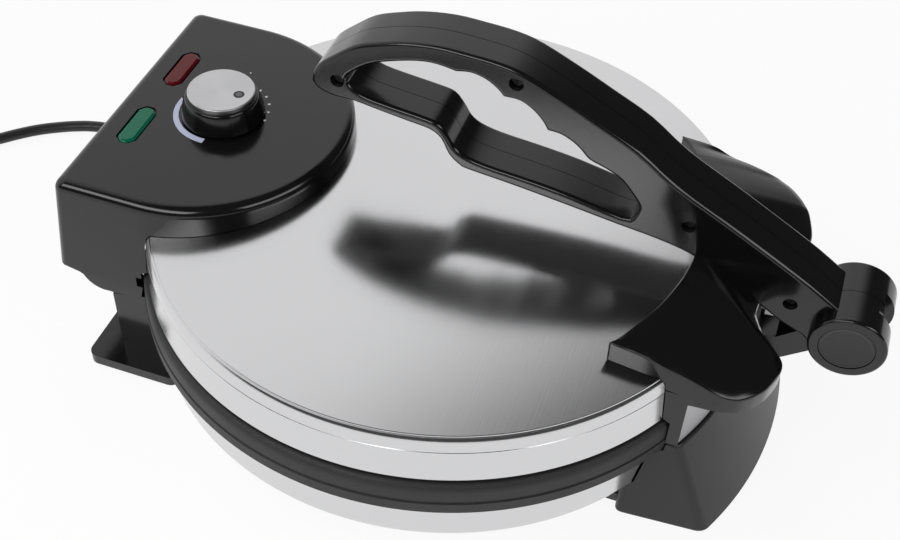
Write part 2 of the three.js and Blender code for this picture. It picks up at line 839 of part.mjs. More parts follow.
// Everything below the lower edge of the housing's side walls, with the round hinge boss left on
function belowHousing() {
  const points = [
    [domeRadius / 2, 0],
    [housingRear + overrun, 0],
    [housingRear + overrun, housingRearZ],
    [housingRear - housingCorner, housingRearZ - bite],
    [hingeY + hingeBoss * 1.08, hingeZ - hingeBoss * 0.3],
  ];
  for (let i = 0; i <= tinySteps; i += 1) {
    const angle = THREE.MathUtils.degToRad(THREE.MathUtils.lerp(-24, -100, i / tinySteps));
    points.push([hingeY + hingeBoss * Math.cos(angle), hingeZ + hingeBoss * Math.sin(angle)]);
  }
  const frontX = hingeY - hingeBoss * 1.5;
  points.push(
    [frontX, postTopFront + bite],
    [frontX - bite, hingeZ + bite * 4],
    [skirtRadius * 0.855, bandZ + wall],
    [domeRadius / 2, bandZ + wall],
  );
  return sideSolid(outline(points), -housingHalf - overrun, housingHalf + overrun);
}

const lensPocket = (side, gap) =>
  slabSolid(
    roundedRectangle(
      side * lensX - lensLength / 2 - gap,
      side * lensX + lensLength / 2 + gap,
      lensY - lensWidth / 2 - gap,
      lensY + lensWidth / 2 + gap,
      lensWidth / 4,
    ),
    housingTopZ - lensDepth - gap,
    housingTopZ + overrun,
  );

// Glossy housing at the rear of the lid, open below, with the hinge walls and ribs
function makeControlHousing() {
  const levels = [ringBottomZ - overrun, housingWaistZ, housingShoulderZ];
  const roundLevels = [1, 2].map((i) => (Math.PI / 2) * (i / 2));
  const outer = loft([
    ...levels.map((z) => housingRing(z, 0)),
    ...roundLevels.map((angle) =>
      housingRing(
        housingShoulderZ + housingFillet * Math.sin(angle),
        housingFillet * (1 - Math.cos(angle)),
      ),
    ),
  ]);
  const ceilingZ = housingTopZ - wall;
  const inner = loft([
    housingRing(ringBottomZ - overrun * 2, wall),
    housingRing(housingWaistZ, wall),
    housingRing(ceilingZ, wall),
  ]);
  let housing = cut(outer, inner, belowHousing());
  const ribShape = outline([
    [hingeY - ribRadius, hingeZ],
    [hingeY - ribRadius, ceilingZ + bite],
    [housingTopRear - bite, ceilingZ + bite],
    [housingRear - wall / 2, housingRearZ + bite],
    [hingeY, hingeZ - ribRadius],
    [hingeY - ribRadius * 0.7, hingeZ - ribRadius * 0.7],
  ]);
  for (const [, side] of sides) {
    const ribX = side * (postInner - fitGap * 2);
    const farX = ribX - side * ribWidth;
    const rib = sideSolid(ribShape, Math.min(ribX, farX), Math.max(ribX, farX));
    housing = join(housing, cut(rib, housingRimCut()));
  }
  for (const [x, y] of housingScrewPlaces) {
    const bottom = [x, y, domeZ(domeRadius) - wall];
    housing = join(housing, rod(bottom, [x, y, ceilingZ + bite], screwRadius + wall, tinySteps));
  }
  for (const side of [-1, 1]) {
    housing = join(housing, cut(common(grown(side), outer), lensPocket(side, fitGap)));
  }
  const pinBore = rod(
    [wall / 2 - postOuter, hingeY, hingeZ],
    [postOuter - wall / 2, hingeY, hingeZ],
    pinRadius + fitGap,
    smallSteps,
  );
  const screwBores = housingScrewPlaces.map(([x, y]) =>
    rod([x, y, bandZ], [x, y, ceilingZ - wall], screwRadius + fitGap, tinySteps),
  );
  const boreTop = [0, knobY, housingTopZ + overrun];
  const shaftBore = rod([0, knobY, bandZ], boreTop, shaftRadius + runGap, smallSteps);
  const lampBores = [-1, 1].map((side) =>
    rod([side * lensX, lensY, bandZ], [side * lensX, lensY, housingTopZ - lensDepth], lampRadius + fitGap),
  );
  housing = cut(
    housing,
    lidClearance(fitGap),
    lensPocket(-1, fitGap),
    lensPocket(1, fitGap),
    pinBore,
    shaftBore,
    ...lampBores,
    ...screwBores,
  );
  piece("control_housing", housing, colours.gloss);
  makeHousingCover();
}

// Thickened surround of a lens under the housing's top
function grown(side) {
  return slabSolid(
    roundedRectangle(
      side * lensX - lensLength / 2 - wall / 2,
      side * lensX + lensLength / 2 + wall / 2,
      lensY - lensWidth / 2 - wall / 2,
      lensY + lensWidth / 2 + wall / 2,
      lensWidth / 4,
    ),
    housingTopZ - lensDepth - wall / 2,
    housingTopZ - wall / 2,
  );
}

// Keeps the ribs off the ring and skirt
const housingRimCut = () => lidClearance(runGap);

// Flat cover that closes the housing's overhang between the hinge ribs
function makeHousingCover() {
  const half = postInner - fitGap * 3 - ribWidth;
  const slabBody = loft([
    housingRing(coverZ, wall + fitGap),
    housingRing(coverZ + coverSheet, wall + fitGap),
  ]);
  const room = box(-half, half, domeRadius, housingRear, coverZ - bite, coverZ + coverSheet + bite);
  piece("housing_cover", cut(common(slabBody, room), lidClearance(runGap * 2)), colours.matte);
}

function makeControls() {
  const materials = { left: colours.green, right: colours.red };
  const labels = { left: "green", right: "red" };
  for (const [name, side] of sides) {
    const lens = slabSolid(
      roundedRectangle(
        side * lensX - lensLength / 2,
        side * lensX + lensLength / 2,
        lensY - lensWidth / 2,
        lensY + lensWidth / 2,
        lensWidth / 4,
      ),
      housingTopZ - lensDepth,
      housingTopZ + lensRise,
    );
    const lampTop = housingTopZ - lensDepth - fitGap;
    const lampX = side * lensX;
    piece(`${labels[name]}_lens`, lens, materials[name]);
    const lamp = rod([lampX, lensY, lampTop - lampLength], [lampX, lensY, lampTop], lampRadius);
    piece(`${labels[name]}_lamp`, lamp, colours.glass);
  }
  const thermostatZ = upperPlateTopZ + fitGap;
  const half = thermostatSize / 2;
  const thermostatTop = thermostatZ + thermostatHeight;
  const body = box(-half, half, knobY - half, knobY + half * 0.7, thermostatZ, thermostatTop);
  const socketLow = thermostatTop - wall;
  const socket = rod([0, knobY, socketLow], [0, knobY, thermostatTop + overrun], shaftRadius + fitGap);
  piece("thermostat", cut(body, socket), colours.matte);
  const shaftTop = knobTopZ - capHeight - wall * 2;
  const shaft = rod([0, knobY, socketLow + fitGap], [0, knobY, shaftTop], shaftRadius);
  piece("thermostat_shaft", shaft, colours.steel);
  const knobZ = housingTopZ + knobGap;
  const seatZ = knobTopZ - capHeight;
  const knob = turned(
    [
      [0, knobZ],
      [knobRadius, knobZ],
      [knobRadius - fitGap, knobZ + wall],
      [knobTopRadius, seatZ],
      [0, seatZ],
    ],
    plateSteps,
  ).translate([0, knobY, 0]);
  const shaftHole = rod([0, knobY, knobZ - overrun], [0, knobY, shaftTop + fitGap], shaftRadius + fitGap);
  piece("knob", cut(knob, shaftHole), colours.gloss);
  const cap = turned(
    [
      [0, seatZ + fitGap],
      [capRadius, seatZ + fitGap],
      [capRadius, knobTopZ - bite / 2],
      [capRadius - bite, knobTopZ],
      [0, knobTopZ],
    ],
    plateSteps,
  ).translate([0, knobY, 0]);
  piece("knob_cap", cap, colours.silver);
}

function makeLidScrews() {
  const places = { housing: housingScrewPlaces, nose: noseScrewPlaces };
  for (const [name, list] of Object.entries(places)) {
    list.forEach(([x, y], index) => {
      const headTop = domeZ(Math.hypot(x, y)) - sheet * 2.2;
      const head = rod([x, y, headTop - screwHeadHeight], [x, y, headTop], screwHeadRadius, tinySteps);
      const shankTop = domeZ(Math.hypot(x, y)) + wall * 2;
      const shank = rod([x, y, headTop - bite], [x, y, shankTop], screwRadius, tinySteps);
      piece(`${name}_screw_${index + 1}`, join(head, shank), colours.iron);
    });
  }
}

// Places of the nose's outer edge: share of the half width, share of the depth
const noseEdgeShares = [
  [0.972, 0],
  [0.983, 0.23],
  [0.979, 0.375],
  [0.987, 0.52],
  [1, 0.664],
  [0.997, 0.75],
  [0.95, 0.83],
  [0.909, 0.88],
  [0.811, 0.938],
  [0.657, 0.988],
  [0.58, 1],
  [0.49, 0.952],
  [0.42, 0.866],
  [0.28, 0.773],
];

// Height of the nose's ridge and of its side edges, as shares of the rise from its lowest place,
// at shares of its depth
const ridgeShares = [
  [0, 0.965],
  [0.31, 0.845],
  [0.768, 0.34],
  [0.93, 0.145],
  [1.1, 0],
];
const edgeShares = [
  [0, 0.611],
  [0.23, 0.556],
  [0.375, 0.453],
  [0.52, 0.389],
  [0.664, 0.306],
  [0.75, 0.258],
  [0.87, 0.208],
  [1.1, 0.14],
];

// Value of a table of shares at a place, along straight lines between its rows
function along(table, place) {
  const last = table.length - 1;
  let row = 0;
  while (row < last - 1 && place > table[row + 1][0]) row += 1;
  const [start, low] = table[row];
  const [end, high] = table[row + 1];
  return low + ((high - low) * (place - start)) / (end - start);
}

// Height of the nose's top: a ridge under the lever that falls away to both sides
function noseTop(x, y) {
  const depth = (-y - noseBack) / (noseFront - noseBack);
  const rise = noseHighZ - noseLowZ;
  const ridge = noseLowZ + rise * along(ridgeShares, depth);
  const edge = noseLowZ + rise * along(edgeShares, depth);
  const level = leverHalf * 0.7;
  const share = 1 - Math.max(Math.abs(x) - level, 0) / (noseHalf - level);
  return edge + (ridge - edge) * Math.max(share, 0);
}

const noseBlock = (drop) =>
  underSurface(
    -noseHalf - overrun,
    noseHalf + overrun,
    -noseFront - overrun,
    -noseBack + overrun,
    frontTopZ + fitGap - (drop ? overrun : 0),
    (x, y) => noseTop(x, y) - drop,
    smallSteps,
    tinySteps,
  );

// Plan of the nose: its outer edge and, at the back, the arc that it leaves open on the dome
function nosePlan(inset) {
  const depth = noseFront - noseBack;
  const right = noseEdgeShares.map(([half, share]) => [
    noseHalf * half - inset,
    -(noseBack + depth * share) + (share > 0.7 ? inset : 0),
  ]);
  const left = [...right].reverse().map(([x, y]) => [-x, y]);
  return slabSolid(outline([...right, ...left]), 0, noseHighZ + overrun);
}

const insideRadius = (radius) => {
  const top = noseHighZ + overrun;
  return turned([[0, 0], [radius, 0], [radius, top], [0, top]], roundSteps);
};

// Saddle over the front of the lid, with its apron in front of the ring and its side strips
function makeLidNose() {
  const stripX = noseHalf * 0.98;
  const strip = (side) => {
    const near = side * (stripX - noseStripWall);
    const far = side * stripX;
    return box(Math.min(near, far), Math.max(near, far), -noseStripFront, -noseStripBack, 0, noseHighZ);
  };
  const lowPlan = join(common(insideRadius(apronRadius), nosePlan(0)), strip(-1), strip(1));
  const under = cut(noseBlock(noseEdge), lowPlan);
  const inset = common(insideRadius(apronRadius - wall), nosePlan(wall * 1.6));
  const hollowPlan = cut(inset, insideRadius(noseArc + wall));
  const bosses = noseScrewPlaces.map(([x, y]) =>
    rod([x, y, 0], [x, y, noseHighZ], screwRadius + wall, tinySteps),
  );
  const hollow = cut(common(noseBlock(wall), hollowPlan), ...bosses);
  const bores = noseScrewPlaces.map(([x, y]) =>
    rod([x, y, bandZ], [x, y, domeZ(Math.hypot(x, y)) + wall * 2.3], screwRadius + fitGap, tinySteps),
  );
  const armBores = [-1, 1].map((side) =>
    rod([side * armScrewX, -apronRadius - overrun, armScrewZ], [side * armScrewX, -ringRadius, armScrewZ],
      screwRadius + fitGap, tinySteps),
  );
  const nose = cut(
    common(noseBlock(0), nosePlan(0)),
    insideRadius(noseArc),
    under,
    hollow,
    lidClearance(fitGap * 1.5),
    ...bores,
    ...armBores,
  );
  piece("lid_nose", nose, colours.gloss);
}

const armScrewZ = (flangeLowZ + flangeHighZ) / 2;

// Arm from the nose's apron up to the lever's pivot, with its screwed flange
function makePivotArm() {
  const half = armDepth / 2;
  const run = (pivotY - armBendY) / Math.cos(armSlope);
  const ray = (t, offset) => [
    -pivotY + t * Math.cos(armSlope) + offset * Math.sin(armSlope),
    pivotZ - t * Math.sin(armSlope) + offset * Math.cos(armSlope),
  ];
  const flangeY = -apronRadius - fitGap;
  const bar = outline([
    ray(0, -half),
    [-armBendY - bite * 2, armFootZ - half],
    [flangeY - flangeThickness / 2, armFootZ - half],
    [flangeY - flangeThickness / 2, armFootZ + half],
    ray(run - half, half),
    ray(0, half),
  ]);
  const eye = circle(-pivotY, pivotZ, eyeRadius);
  const shell = cut(
    turned(
      [
        [apronRadius + fitGap, flangeLowZ],
        [apronRadius + fitGap + flangeThickness, flangeLowZ],
        [apronRadius + fitGap + flangeThickness, flangeHighZ],
        [apronRadius + fitGap, flangeHighZ],
      ],
      roundSteps * 2,
    ),
  );
  const window = box(-flangeHalf, flangeHalf, -apronRadius * 1.1, 0, flangeLowZ, flangeHighZ);
  const arm = join(
    sideSolid(bar, -armHalf, armHalf),
    sideSolid(eye, -armHalf, armHalf),
    common(shell, window),
  );
  const bore = rod([-leverHalf, -pivotY, pivotZ], [leverHalf, -pivotY, pivotZ], leverPin + fitGap);
  const screws = [-1, 1].map((side) => side * armScrewX);
  const holes = screws.map((x) =>
    rod([x, -apronRadius * 1.1, armScrewZ], [x, -ringRadius, armScrewZ], screwRadius + fitGap, tinySteps),
  );
  piece("pivot_arm", cut(arm, bore, ...holes), colours.gloss);
  screws.forEach((x, index) => {
    const seatY = -Math.sqrt((apronRadius + fitGap + flangeThickness) ** 2 - (x * 0.7) ** 2) - fitGap;
    const headY = seatY - screwHeadHeight;
    const shankEnd = -ringRadius - fitGap * 3;
    const head = rod([x, headY, armScrewZ], [x, seatY, armScrewZ], screwHeadRadius, tinySteps);
    const shank = rod([x, seatY - bite, armScrewZ], [x, shankEnd, armScrewZ], screwRadius, tinySteps);
    piece(`arm_screw_${index + 1}`, join(head, shank), colours.iron);
  });
}

// Side outline of the lever from its pivot: shares of its reach and of its rise
const leverTopShares = [
  [0.02, 0.15],
  [0.083, 0.27],
  [0.159, 0.374],
  [0.243, 0.485],
  [0.34, 0.61],
  [0.412, 0.734],
  [0.485, 0.821],
  [0.547, 0.893],
  [0.615, 0.962],
  [0.66, 0.988],
  [0.716, 0.998],
  [0.771, 1],
  [0.827, 0.981],
  [0.874, 0.948],
  [0.918, 0.906],
  [0.957, 0.835],
  [0.985, 0.774],
  [1, 0.704],
];
const leverBottomShares = [
  [0.998, 0.672],
  [0.987, 0.645],
  [0.958, 0.628],
  [0.923, 0.627],
  [0.874, 0.61],
  [0.815, 0.59],
  [0.78, 0.577],
  [0.759, 0.545],
  [0.743, 0.472],
  [0.722, 0.428],
  [0.703, 0.415],
  [0.623, 0.394],
  [0.524, 0.362],
  [0.427, 0.328],
  [0.292, 0.274],
  [0.164, 0.102],
  [0.119, 0.035],
  [0.06, -0.02],
];
const handHoleShares = [
  [0.933, 0.727],
  [0.921, 0.775],
  [0.892, 0.829],
  [0.859, 0.865],
  [0.806, 0.905],
  [0.736, 0.905],
  [0.665, 0.864],
  [0.623, 0.835],
  [0.598, 0.803],
  [0.57, 0.74],
  [0.525, 0.696],
  [0.493, 0.622],
  [0.441, 0.588],
  [0.412, 0.51],
  [0.395, 0.448],
  [0.399, 0.395],
  [0.422, 0.372],
  [0.526, 0.426],
  [0.6, 0.45],
  [0.675, 0.464],
  [0.714, 0.488],
  [0.729, 0.509],
  [0.745, 0.572],
  [0.766, 0.625],
  [0.795, 0.634],
  [0.848, 0.648],
  [0.898, 0.665],
  [0.921, 0.681],
];
const leverScrewShares = [
  [0.956, 0.7],
  [0.64, 0.9],
  [0.306, 0.42],
  [0.115, 0.135],
];

// The way of the arm's bar round the pivot while the lever swings, as a slot in the barrel
function leverSlot() {
  const margin = 32;
  const start = -armSlopeDegrees + margin;
  const end = -armSlopeDegrees - leverSwingDegrees - margin;
  const far = barrelRadius * 1.6;
  const points = [[-pivotY, pivotZ]];
  for (let i = 0; i <= smallSteps; i += 1) {
    const angle = THREE.MathUtils.degToRad(THREE.MathUtils.lerp(start, end, i / smallSteps));
    points.push([-pivotY + far * Math.cos(angle), pivotZ + far * Math.sin(angle)]);
  }
  const reach = armHalf + runGap;
  return join(
    sideSolid(outline(points), -reach, reach),
    sideSolid(circle(-pivotY, pivotZ, eyeRadius + runGap), -reach, reach),
  );
}

const leverSwingDegrees = 165;

// Two moulded halves of the lever round its pivot, their screws, the pin and its end caps
function makeLever() {
  const placed = (shares) => shares.map(([a, b]) => [a * leverReach - pivotY, pivotZ + b * leverRise]);
  const root = [
    [barrelRadius * 0.3, -barrelRadius * 0.6],
    [-barrelRadius * 0.3, 0],
    [-barrelRadius * 0.1, barrelRadius * 0.8],
  ].map(([y, z]) => [y - pivotY, z + pivotZ]);
  const bar = outline([...placed(leverTopShares), ...placed(leverBottomShares), ...root]);
  const handHole = sideSolid(outline(placed(handHoleShares)), -leverHalf - overrun, leverHalf + overrun);
  const barrel = turnedAcross(
    [
      [0, -barrelHalf],
      [barrelRadius - bite, -barrelHalf],
      [barrelRadius, bite - barrelHalf],
      [barrelRadius, barrelHalf - bite],
      [barrelRadius - bite, barrelHalf],
      [0, barrelHalf],
    ],
    plateSteps,
  );
  const lever = join(cut(sideSolid(bar, -leverHalf, leverHalf, leverFillet), handHole), barrel);
  const pinBore = rod([-barrelHalf, -pivotY, pivotZ], [barrelHalf, -pivotY, pivotZ], leverPin + fitGap);
  const capSeats = [-1, 1].map((side) =>
    rod(
      [side * (barrelHalf - endCapDepth - fitGap), -pivotY, pivotZ],
      [side * (barrelHalf + overrun), -pivotY, pivotZ],
      endCapRadius + fitGap,
      plateSteps / 2,
    ),
  );
  const screwPlaces = placed(leverScrewShares);
  const seatX = -leverHalf + leverScrewSink + screwHeadHeight;
  const screwHoles = screwPlaces.flatMap(([y, z]) => [
    rod([-leverHalf - overrun, y, z], [seatX, y, z], leverScrewRadius + fitGap, tinySteps),
    rod([seatX - bite, y, z], [leverHalf / 2 + bite, y, z], screwRadius + fitGap, tinySteps),
  ]);
  const whole = cut(lever, leverSlot(), pinBore, ...capSeats, ...screwHoles);
  const reach = leverReach + barrelRadius;
  const split = fitGap / 2;
  const halfRoom = (side) =>
    box(
      side < 0 ? -barrelHalf - overrun : split,
      side < 0 ? -split : barrelHalf + overrun,
      -pivotY - reach,
      -pivotY + reach,
      pivotZ - reach,
      pivotZ + reach,
    );
  for (const [name, side] of sides) {
    piece(`lever_${name}_half`, common(whole, halfRoom(side)), colours.gloss);
    const capIn = side * (barrelHalf - endCapDepth);
    const capOut = [side * barrelHalf, -pivotY, pivotZ];
    const cap = rod([capIn, -pivotY, pivotZ], capOut, endCapRadius, plateSteps / 2);
    piece(`pivot_cap_${name}`, cap, colours.gloss);
  }
  const pinHalf = barrelHalf - endCapDepth - fitGap;
  piece("pivot_pin", rod([-pinHalf, -pivotY, pivotZ], [pinHalf, -pivotY, pivotZ], leverPin), colours.steel);
  screwPlaces.forEach(([y, z], index) => {
    const headIn = seatX - fitGap;
    const head = rod([headIn - screwHeadHeight, y, z], [headIn, y, z], leverScrewRadius, tinySteps);
    const shank = rod([headIn - bite, y, z], [leverHalf / 2, y, z], screwRadius, tinySteps);
    piece(`lever_screw_${index + 1}`, join(head, shank), colours.iron);
  });
}

// Way of the cord from its strain relief along the table toward the coil
const cordRoute = [
  [50, 173.3, 14.5],
  [50, 180, 14.5],
  [51, 188.5, 13.5],
  [54.3, 197.3, 10.2],
  [59.3, 205, 6.5],
  [64.9, 212.6, 4],
  [68.2, 220.8, 3.2],
  [69.4, 229.5, 3.2],
  [67.8, 238.5, 3.2],
  [64.6, 247, 3.2],
  [60, 255.8, 3.2],
  [53.6, 265.6, 3.2],
  [46.2, 274.2, 3.2],
  [39, 281.4, 3.2],
  [28.5, 292.2, 3.4],
];

// A tube of the cord's section along a smooth curve
function cordTube(curve, steps) {
  const section = new THREE.Shape();
  section.setFromPoints(
    Array.from({ length: tinySteps }, (_, i) => {
      const angle = (2 * Math.PI * i) / tinySteps;
      return new THREE.Vector2(cordRadius * Math.cos(angle), cordRadius * Math.sin(angle));
    }),
  );
  return solid(new THREE.ExtrudeGeometry(section, { steps, bevelEnabled: false, extrudePath: curve }));
}

// Place of the coil's middle line at a share of its length: in along its lower layer, up in the half
// turn at the middle, out again on top
function coilPlace(share) {
  const [leadX, leadY] = coilLeadShares;
  const inward = 1 - Math.abs(2 * share - 1);
  const climb = THREE.MathUtils.smoothstep((share - 0.5) * coilTurns, -0.25, 0.25);
  return {
    angle: Math.atan2(leadY, leadX) + Math.PI / 2 - 2 * Math.PI * coilTurns * share,
    radius: THREE.MathUtils.lerp(coilOuter, coilInner, inward),
    height: coilLow + (cordDiameter + coilLayerGap) * climb,
  };
}

// Middle line of the coil with a straight lead at each end
function coilPath() {
  const [centreX, centreY] = coilCentre;
  const steps = coilTurns * coilTurnSteps;
  const points = [];
  for (let i = 0; i <= steps; i += 1) {
    const { angle, radius, height } = coilPlace(i / steps);
    points.push(
      new THREE.Vector3(centreX + radius * Math.cos(angle), centreY + radius * Math.sin(angle), height),
    );
  }
  const [leadX, leadY] = coilLeadShares;
  const lead = new THREE.Vector3(leadX, leadY, 0).setLength(cordDiameter);
  points.unshift(points[0].clone().sub(lead));
  points.push(points[points.length - 1].clone().add(lead));
  return points;
}

// Least distance between turns of the coil, less the cord's thickness
function coilGap(points) {
  let least = Infinity;
  for (let i = 1; i < points.length - 1; i += 1) {
    for (let j = i + coilTurnSteps / 2; j < points.length - 1; j += 1) {
      least = Math.min(least, points[i].distanceTo(points[j]));
    }
  }
  return least - cordDiameter;
}

// One unbroken tube of six sides through the coil's points
function coilTube(points) {
  const rounds = 6;
  const positions = [];
  const corners = [];
  const up = new THREE.Vector3(0, 0, 1);
  points.forEach((point, i) => {
    const before = points[Math.max(i - 1, 0)];
    const after = points[Math.min(i + 1, points.length - 1)];
    const forward = after.clone().sub(before).normalize();
    const side = new THREE.Vector3().crossVectors(forward, up).normalize();
    const over = new THREE.Vector3().crossVectors(side, forward);
    for (let k = 0; k < rounds; k += 1) {
      const angle = (2 * Math.PI * (k + 0.5)) / rounds;
      const place = point
        .clone()
        .addScaledVector(side, cordRadius * Math.cos(angle))
        .addScaledVector(over, cordRadius * Math.sin(angle));
      positions.push(place.x, place.y, place.z);
    }
  });
  for (let i = 0; i < points.length - 1; i += 1) {
    for (let k = 0; k < rounds; k += 1) {
      const a = i * rounds + k;
      const b = i * rounds + ((k + 1) % rounds);
      corners.push(a, b, b + rounds, a, b + rounds, a + rounds);
    }
  }
  const last = (points.length - 1) * rounds;
  for (let k = 1; k < rounds - 1; k += 1) corners.push(0, k + 1, k, last, last + k, last + k + 1);
  const geometry = new THREE.BufferGeometry();
  geometry.setAttribute("position", new THREE.Float32BufferAttribute(positions, 3));
  geometry.setIndex(corners);
  return solid(geometry);
}

// Band round the turns of the coil at one place
function makeCordTie() {
  const [centreX, centreY] = coilCentre;
  const turns = Array.from({ length: coilTurns }, (_, turn) => coilPlace((tieTurnShare + turn) / coilTurns));
  const around = (radius) =>
    Array.from({ length: coilTurnSteps }, (_, step) => {
      const angle = (2 * Math.PI * step) / coilTurnSteps;
      const reach = (turn) => turn.radius * Math.cos(angle) + turn.height * Math.sin(angle);
      const far = turns.reduce((best, turn) => (reach(turn) > reach(best) ? turn : best));
      return [far.radius + radius * Math.cos(angle), far.height + radius * Math.sin(angle)];
    });
  const inside = cordRadius + fitGap;
  const band = outline(around(inside + tieThickness));
  band.holes.push(outline(around(inside)));
  const { angle } = turns[0];
  const outward = new THREE.Vector3(Math.cos(angle), Math.sin(angle), 0);
  const up = new THREE.Vector3(0, 0, 1);
  const turn = new THREE.Matrix4().makeBasis(outward, up, new THREE.Vector3().crossVectors(outward, up));
  const geometry = slab(band, -tieWidth / 2, tieWidth / 2).applyMatrix4(turn);
  piece("cord_tie", solid(geometry.translate(centreX, centreY, 0)), colours.rubber);
}

// Terminal block on the rear foot and the ribbed strain relief that tapers out of it
function makeStrainRelief() {
  const blockLow = footTopZ + fitGap;
  const shape = box(
    blockX - blockWidth / 2,
    Math.min(blockX + blockWidth / 2, postInner - runGap),
    blockFront,
    blockRear,
    blockLow,
    blockLow + blockHeight,
  );
  const shank = cordRadius + sheet;
  const boreEnd = [reliefX, blockRear + overrun, reliefZ];
  const bore = rod([reliefX, blockFront, reliefZ], boreEnd, shank + fitGap);
  piece("terminal_block", cut(shape, baseClearance(fitGap * 2), bore), colours.matte);
  const start = blockRear + fitGap;
  const profile = reliefShares.map(([share, groove]) => {
    const radius = THREE.MathUtils.lerp(reliefRadius, shank, share) - (groove * sheet) / 2;
    return [radius, THREE.MathUtils.lerp(start, reliefEnd, share)];
  });
  const inner = [
    [0, blockRear - wall],
    [shank, blockRear - wall],
    [shank, start],
  ];
  const whole = [...inner, ...profile, [0, reliefEnd], inner[0]];
  const closed = whole.map(([radius, y]) => new THREE.Vector2(radius, y));
  const relief = solid(new THREE.LatheGeometry(closed, smallSteps).translate(reliefX, 0, reliefZ));
  piece("strain_relief", relief, colours.rubber);
}

// Cord along the table, its coil and its end
function makeCord() {
  const coil = coilPath();
  const route = cordRoute.map(([x, y, z]) => new THREE.Vector3(x, y, z));
  route[0].set(reliefX, reliefEnd + fitGap, reliefZ);
  const coilStart = coil[0];
  const inDirection = new THREE.Vector3().subVectors(coil[1], coilStart).normalize();
  route.push(
    coilStart.clone().addScaledVector(inDirection, -cordDiameter),
    coilStart.clone().addScaledVector(inDirection, -fitGap),
  );
  piece("cord", cordTube(new THREE.CatmullRomCurve3(route, false, "centripetal"), 38), colours.rubber);
  piece("cord_coil", coilTube(coil), colours.rubber);
  console.log(`least gap between the coil's turns: ${coilGap(coil).toFixed(2)} mm`);

  const coilEnd = coil[coil.length - 1];
  const outDirection = new THREE.Vector3().subVectors(coilEnd, coil[coil.length - 2]);
  const flat = outDirection.setZ(0).normalize();
  const plugZ = plugHeight / 2;
  const tailLength = plugLength * 2;
  const at = (share, z) => coilEnd.clone().setZ(z).addScaledVector(flat, fitGap + tailLength * share);
  const tail = new THREE.CatmullRomCurve3(
    [
      at(0, coilEnd.z),
      at(0.12, coilEnd.z),
      at(0.5, (coilEnd.z + plugZ) / 2.2),
      at(0.88, plugZ),
      at(1, plugZ),
    ],
    false,
    "centripetal",
  );
  piece("cord_end", cordTube(tail, smallSteps / 2), colours.rubber);
  makePlug(at(1, 0).addScaledVector(flat, fitGap), Math.atan2(flat.y, flat.x) - Math.PI / 2);
}

// Plug body and its two flat blades, from the place where the cord enters and the way it points
function makePlug(start, heading) {
  const place = (geometry) => solid(geometry.rotateZ(heading).translate(start.x, start.y, 0));
  const half = plugWidth / 2;
  const neck = plugWidth * plugNeckShare;
  const body = outline([
    [-neck, 0],
    [neck, 0],
    [half, plugLength * 0.45],
    [half, plugLength],
    [-half, plugLength],
    [-half, plugLength * 0.45],
  ]);
  let plugBody = place(slab(body, fitGap / 3, plugHeight, bite * 2, 1));
  const bladeY = plugLength - wall / 2 + bladeLength / 2;
  const blades = [-1, 1].map((side) => {
    const grow = (gap) => {
      const width = bladeThickness + 2 * gap;
      const blade = new THREE.BoxGeometry(width, bladeLength + wall + 2 * gap, bladeWidth + 2 * gap);
      return place(blade.translate((side * bladeSpacing) / 2, bladeY, plugHeight / 2));
    };
    plugBody = plugBody.subtract(grow(fitGap));
    return grow(0);
  });
  piece("plug_body", plugBody, colours.rubber);
  blades.forEach((blade, index) => piece(`plug_blade_${index + 1}`, blade, colours.brass));
}

makeBaseShell();
makeBottomCover();
makeBaseRing();
makeHeatedPlates();
makeHeater("lower", lowerPlateZ, -1);
makeHeater("upper", upperPlateTopZ, 1);
makeFrontFoot();
makeRearFoot();
makeFootHardware();
makeLidShell();
makeControlHousing();
makeControls();
makeLidScrews();
makeLidNose();
makePivotArm();
makeLever();
makeStrainRelief();
makeCord();
makeCordTie();

export default assembly;
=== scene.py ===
# Electric tortilla maker on a pale table: a domed steel lid with a rear control housing, a black
# ring and steel base between two feet, and a long lever over the front nose.
import json
import math
import bmesh
import bpy
from mathutils import Matrix, Vector


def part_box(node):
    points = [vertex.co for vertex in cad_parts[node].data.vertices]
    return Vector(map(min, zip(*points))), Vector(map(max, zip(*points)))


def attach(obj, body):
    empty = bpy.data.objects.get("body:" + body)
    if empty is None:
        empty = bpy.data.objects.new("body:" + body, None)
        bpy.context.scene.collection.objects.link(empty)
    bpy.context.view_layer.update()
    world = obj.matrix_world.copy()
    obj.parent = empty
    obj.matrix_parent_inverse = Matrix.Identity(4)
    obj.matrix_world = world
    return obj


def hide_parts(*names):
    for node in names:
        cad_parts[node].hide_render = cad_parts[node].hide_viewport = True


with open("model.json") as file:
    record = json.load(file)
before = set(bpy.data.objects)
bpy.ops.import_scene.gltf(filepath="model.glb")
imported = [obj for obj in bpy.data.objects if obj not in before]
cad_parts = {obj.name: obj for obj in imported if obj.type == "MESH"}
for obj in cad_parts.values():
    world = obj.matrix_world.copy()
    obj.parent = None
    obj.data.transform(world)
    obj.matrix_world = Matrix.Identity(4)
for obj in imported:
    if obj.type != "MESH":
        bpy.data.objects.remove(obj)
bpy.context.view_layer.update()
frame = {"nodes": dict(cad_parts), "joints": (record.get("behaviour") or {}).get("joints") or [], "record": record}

MM = 0.001

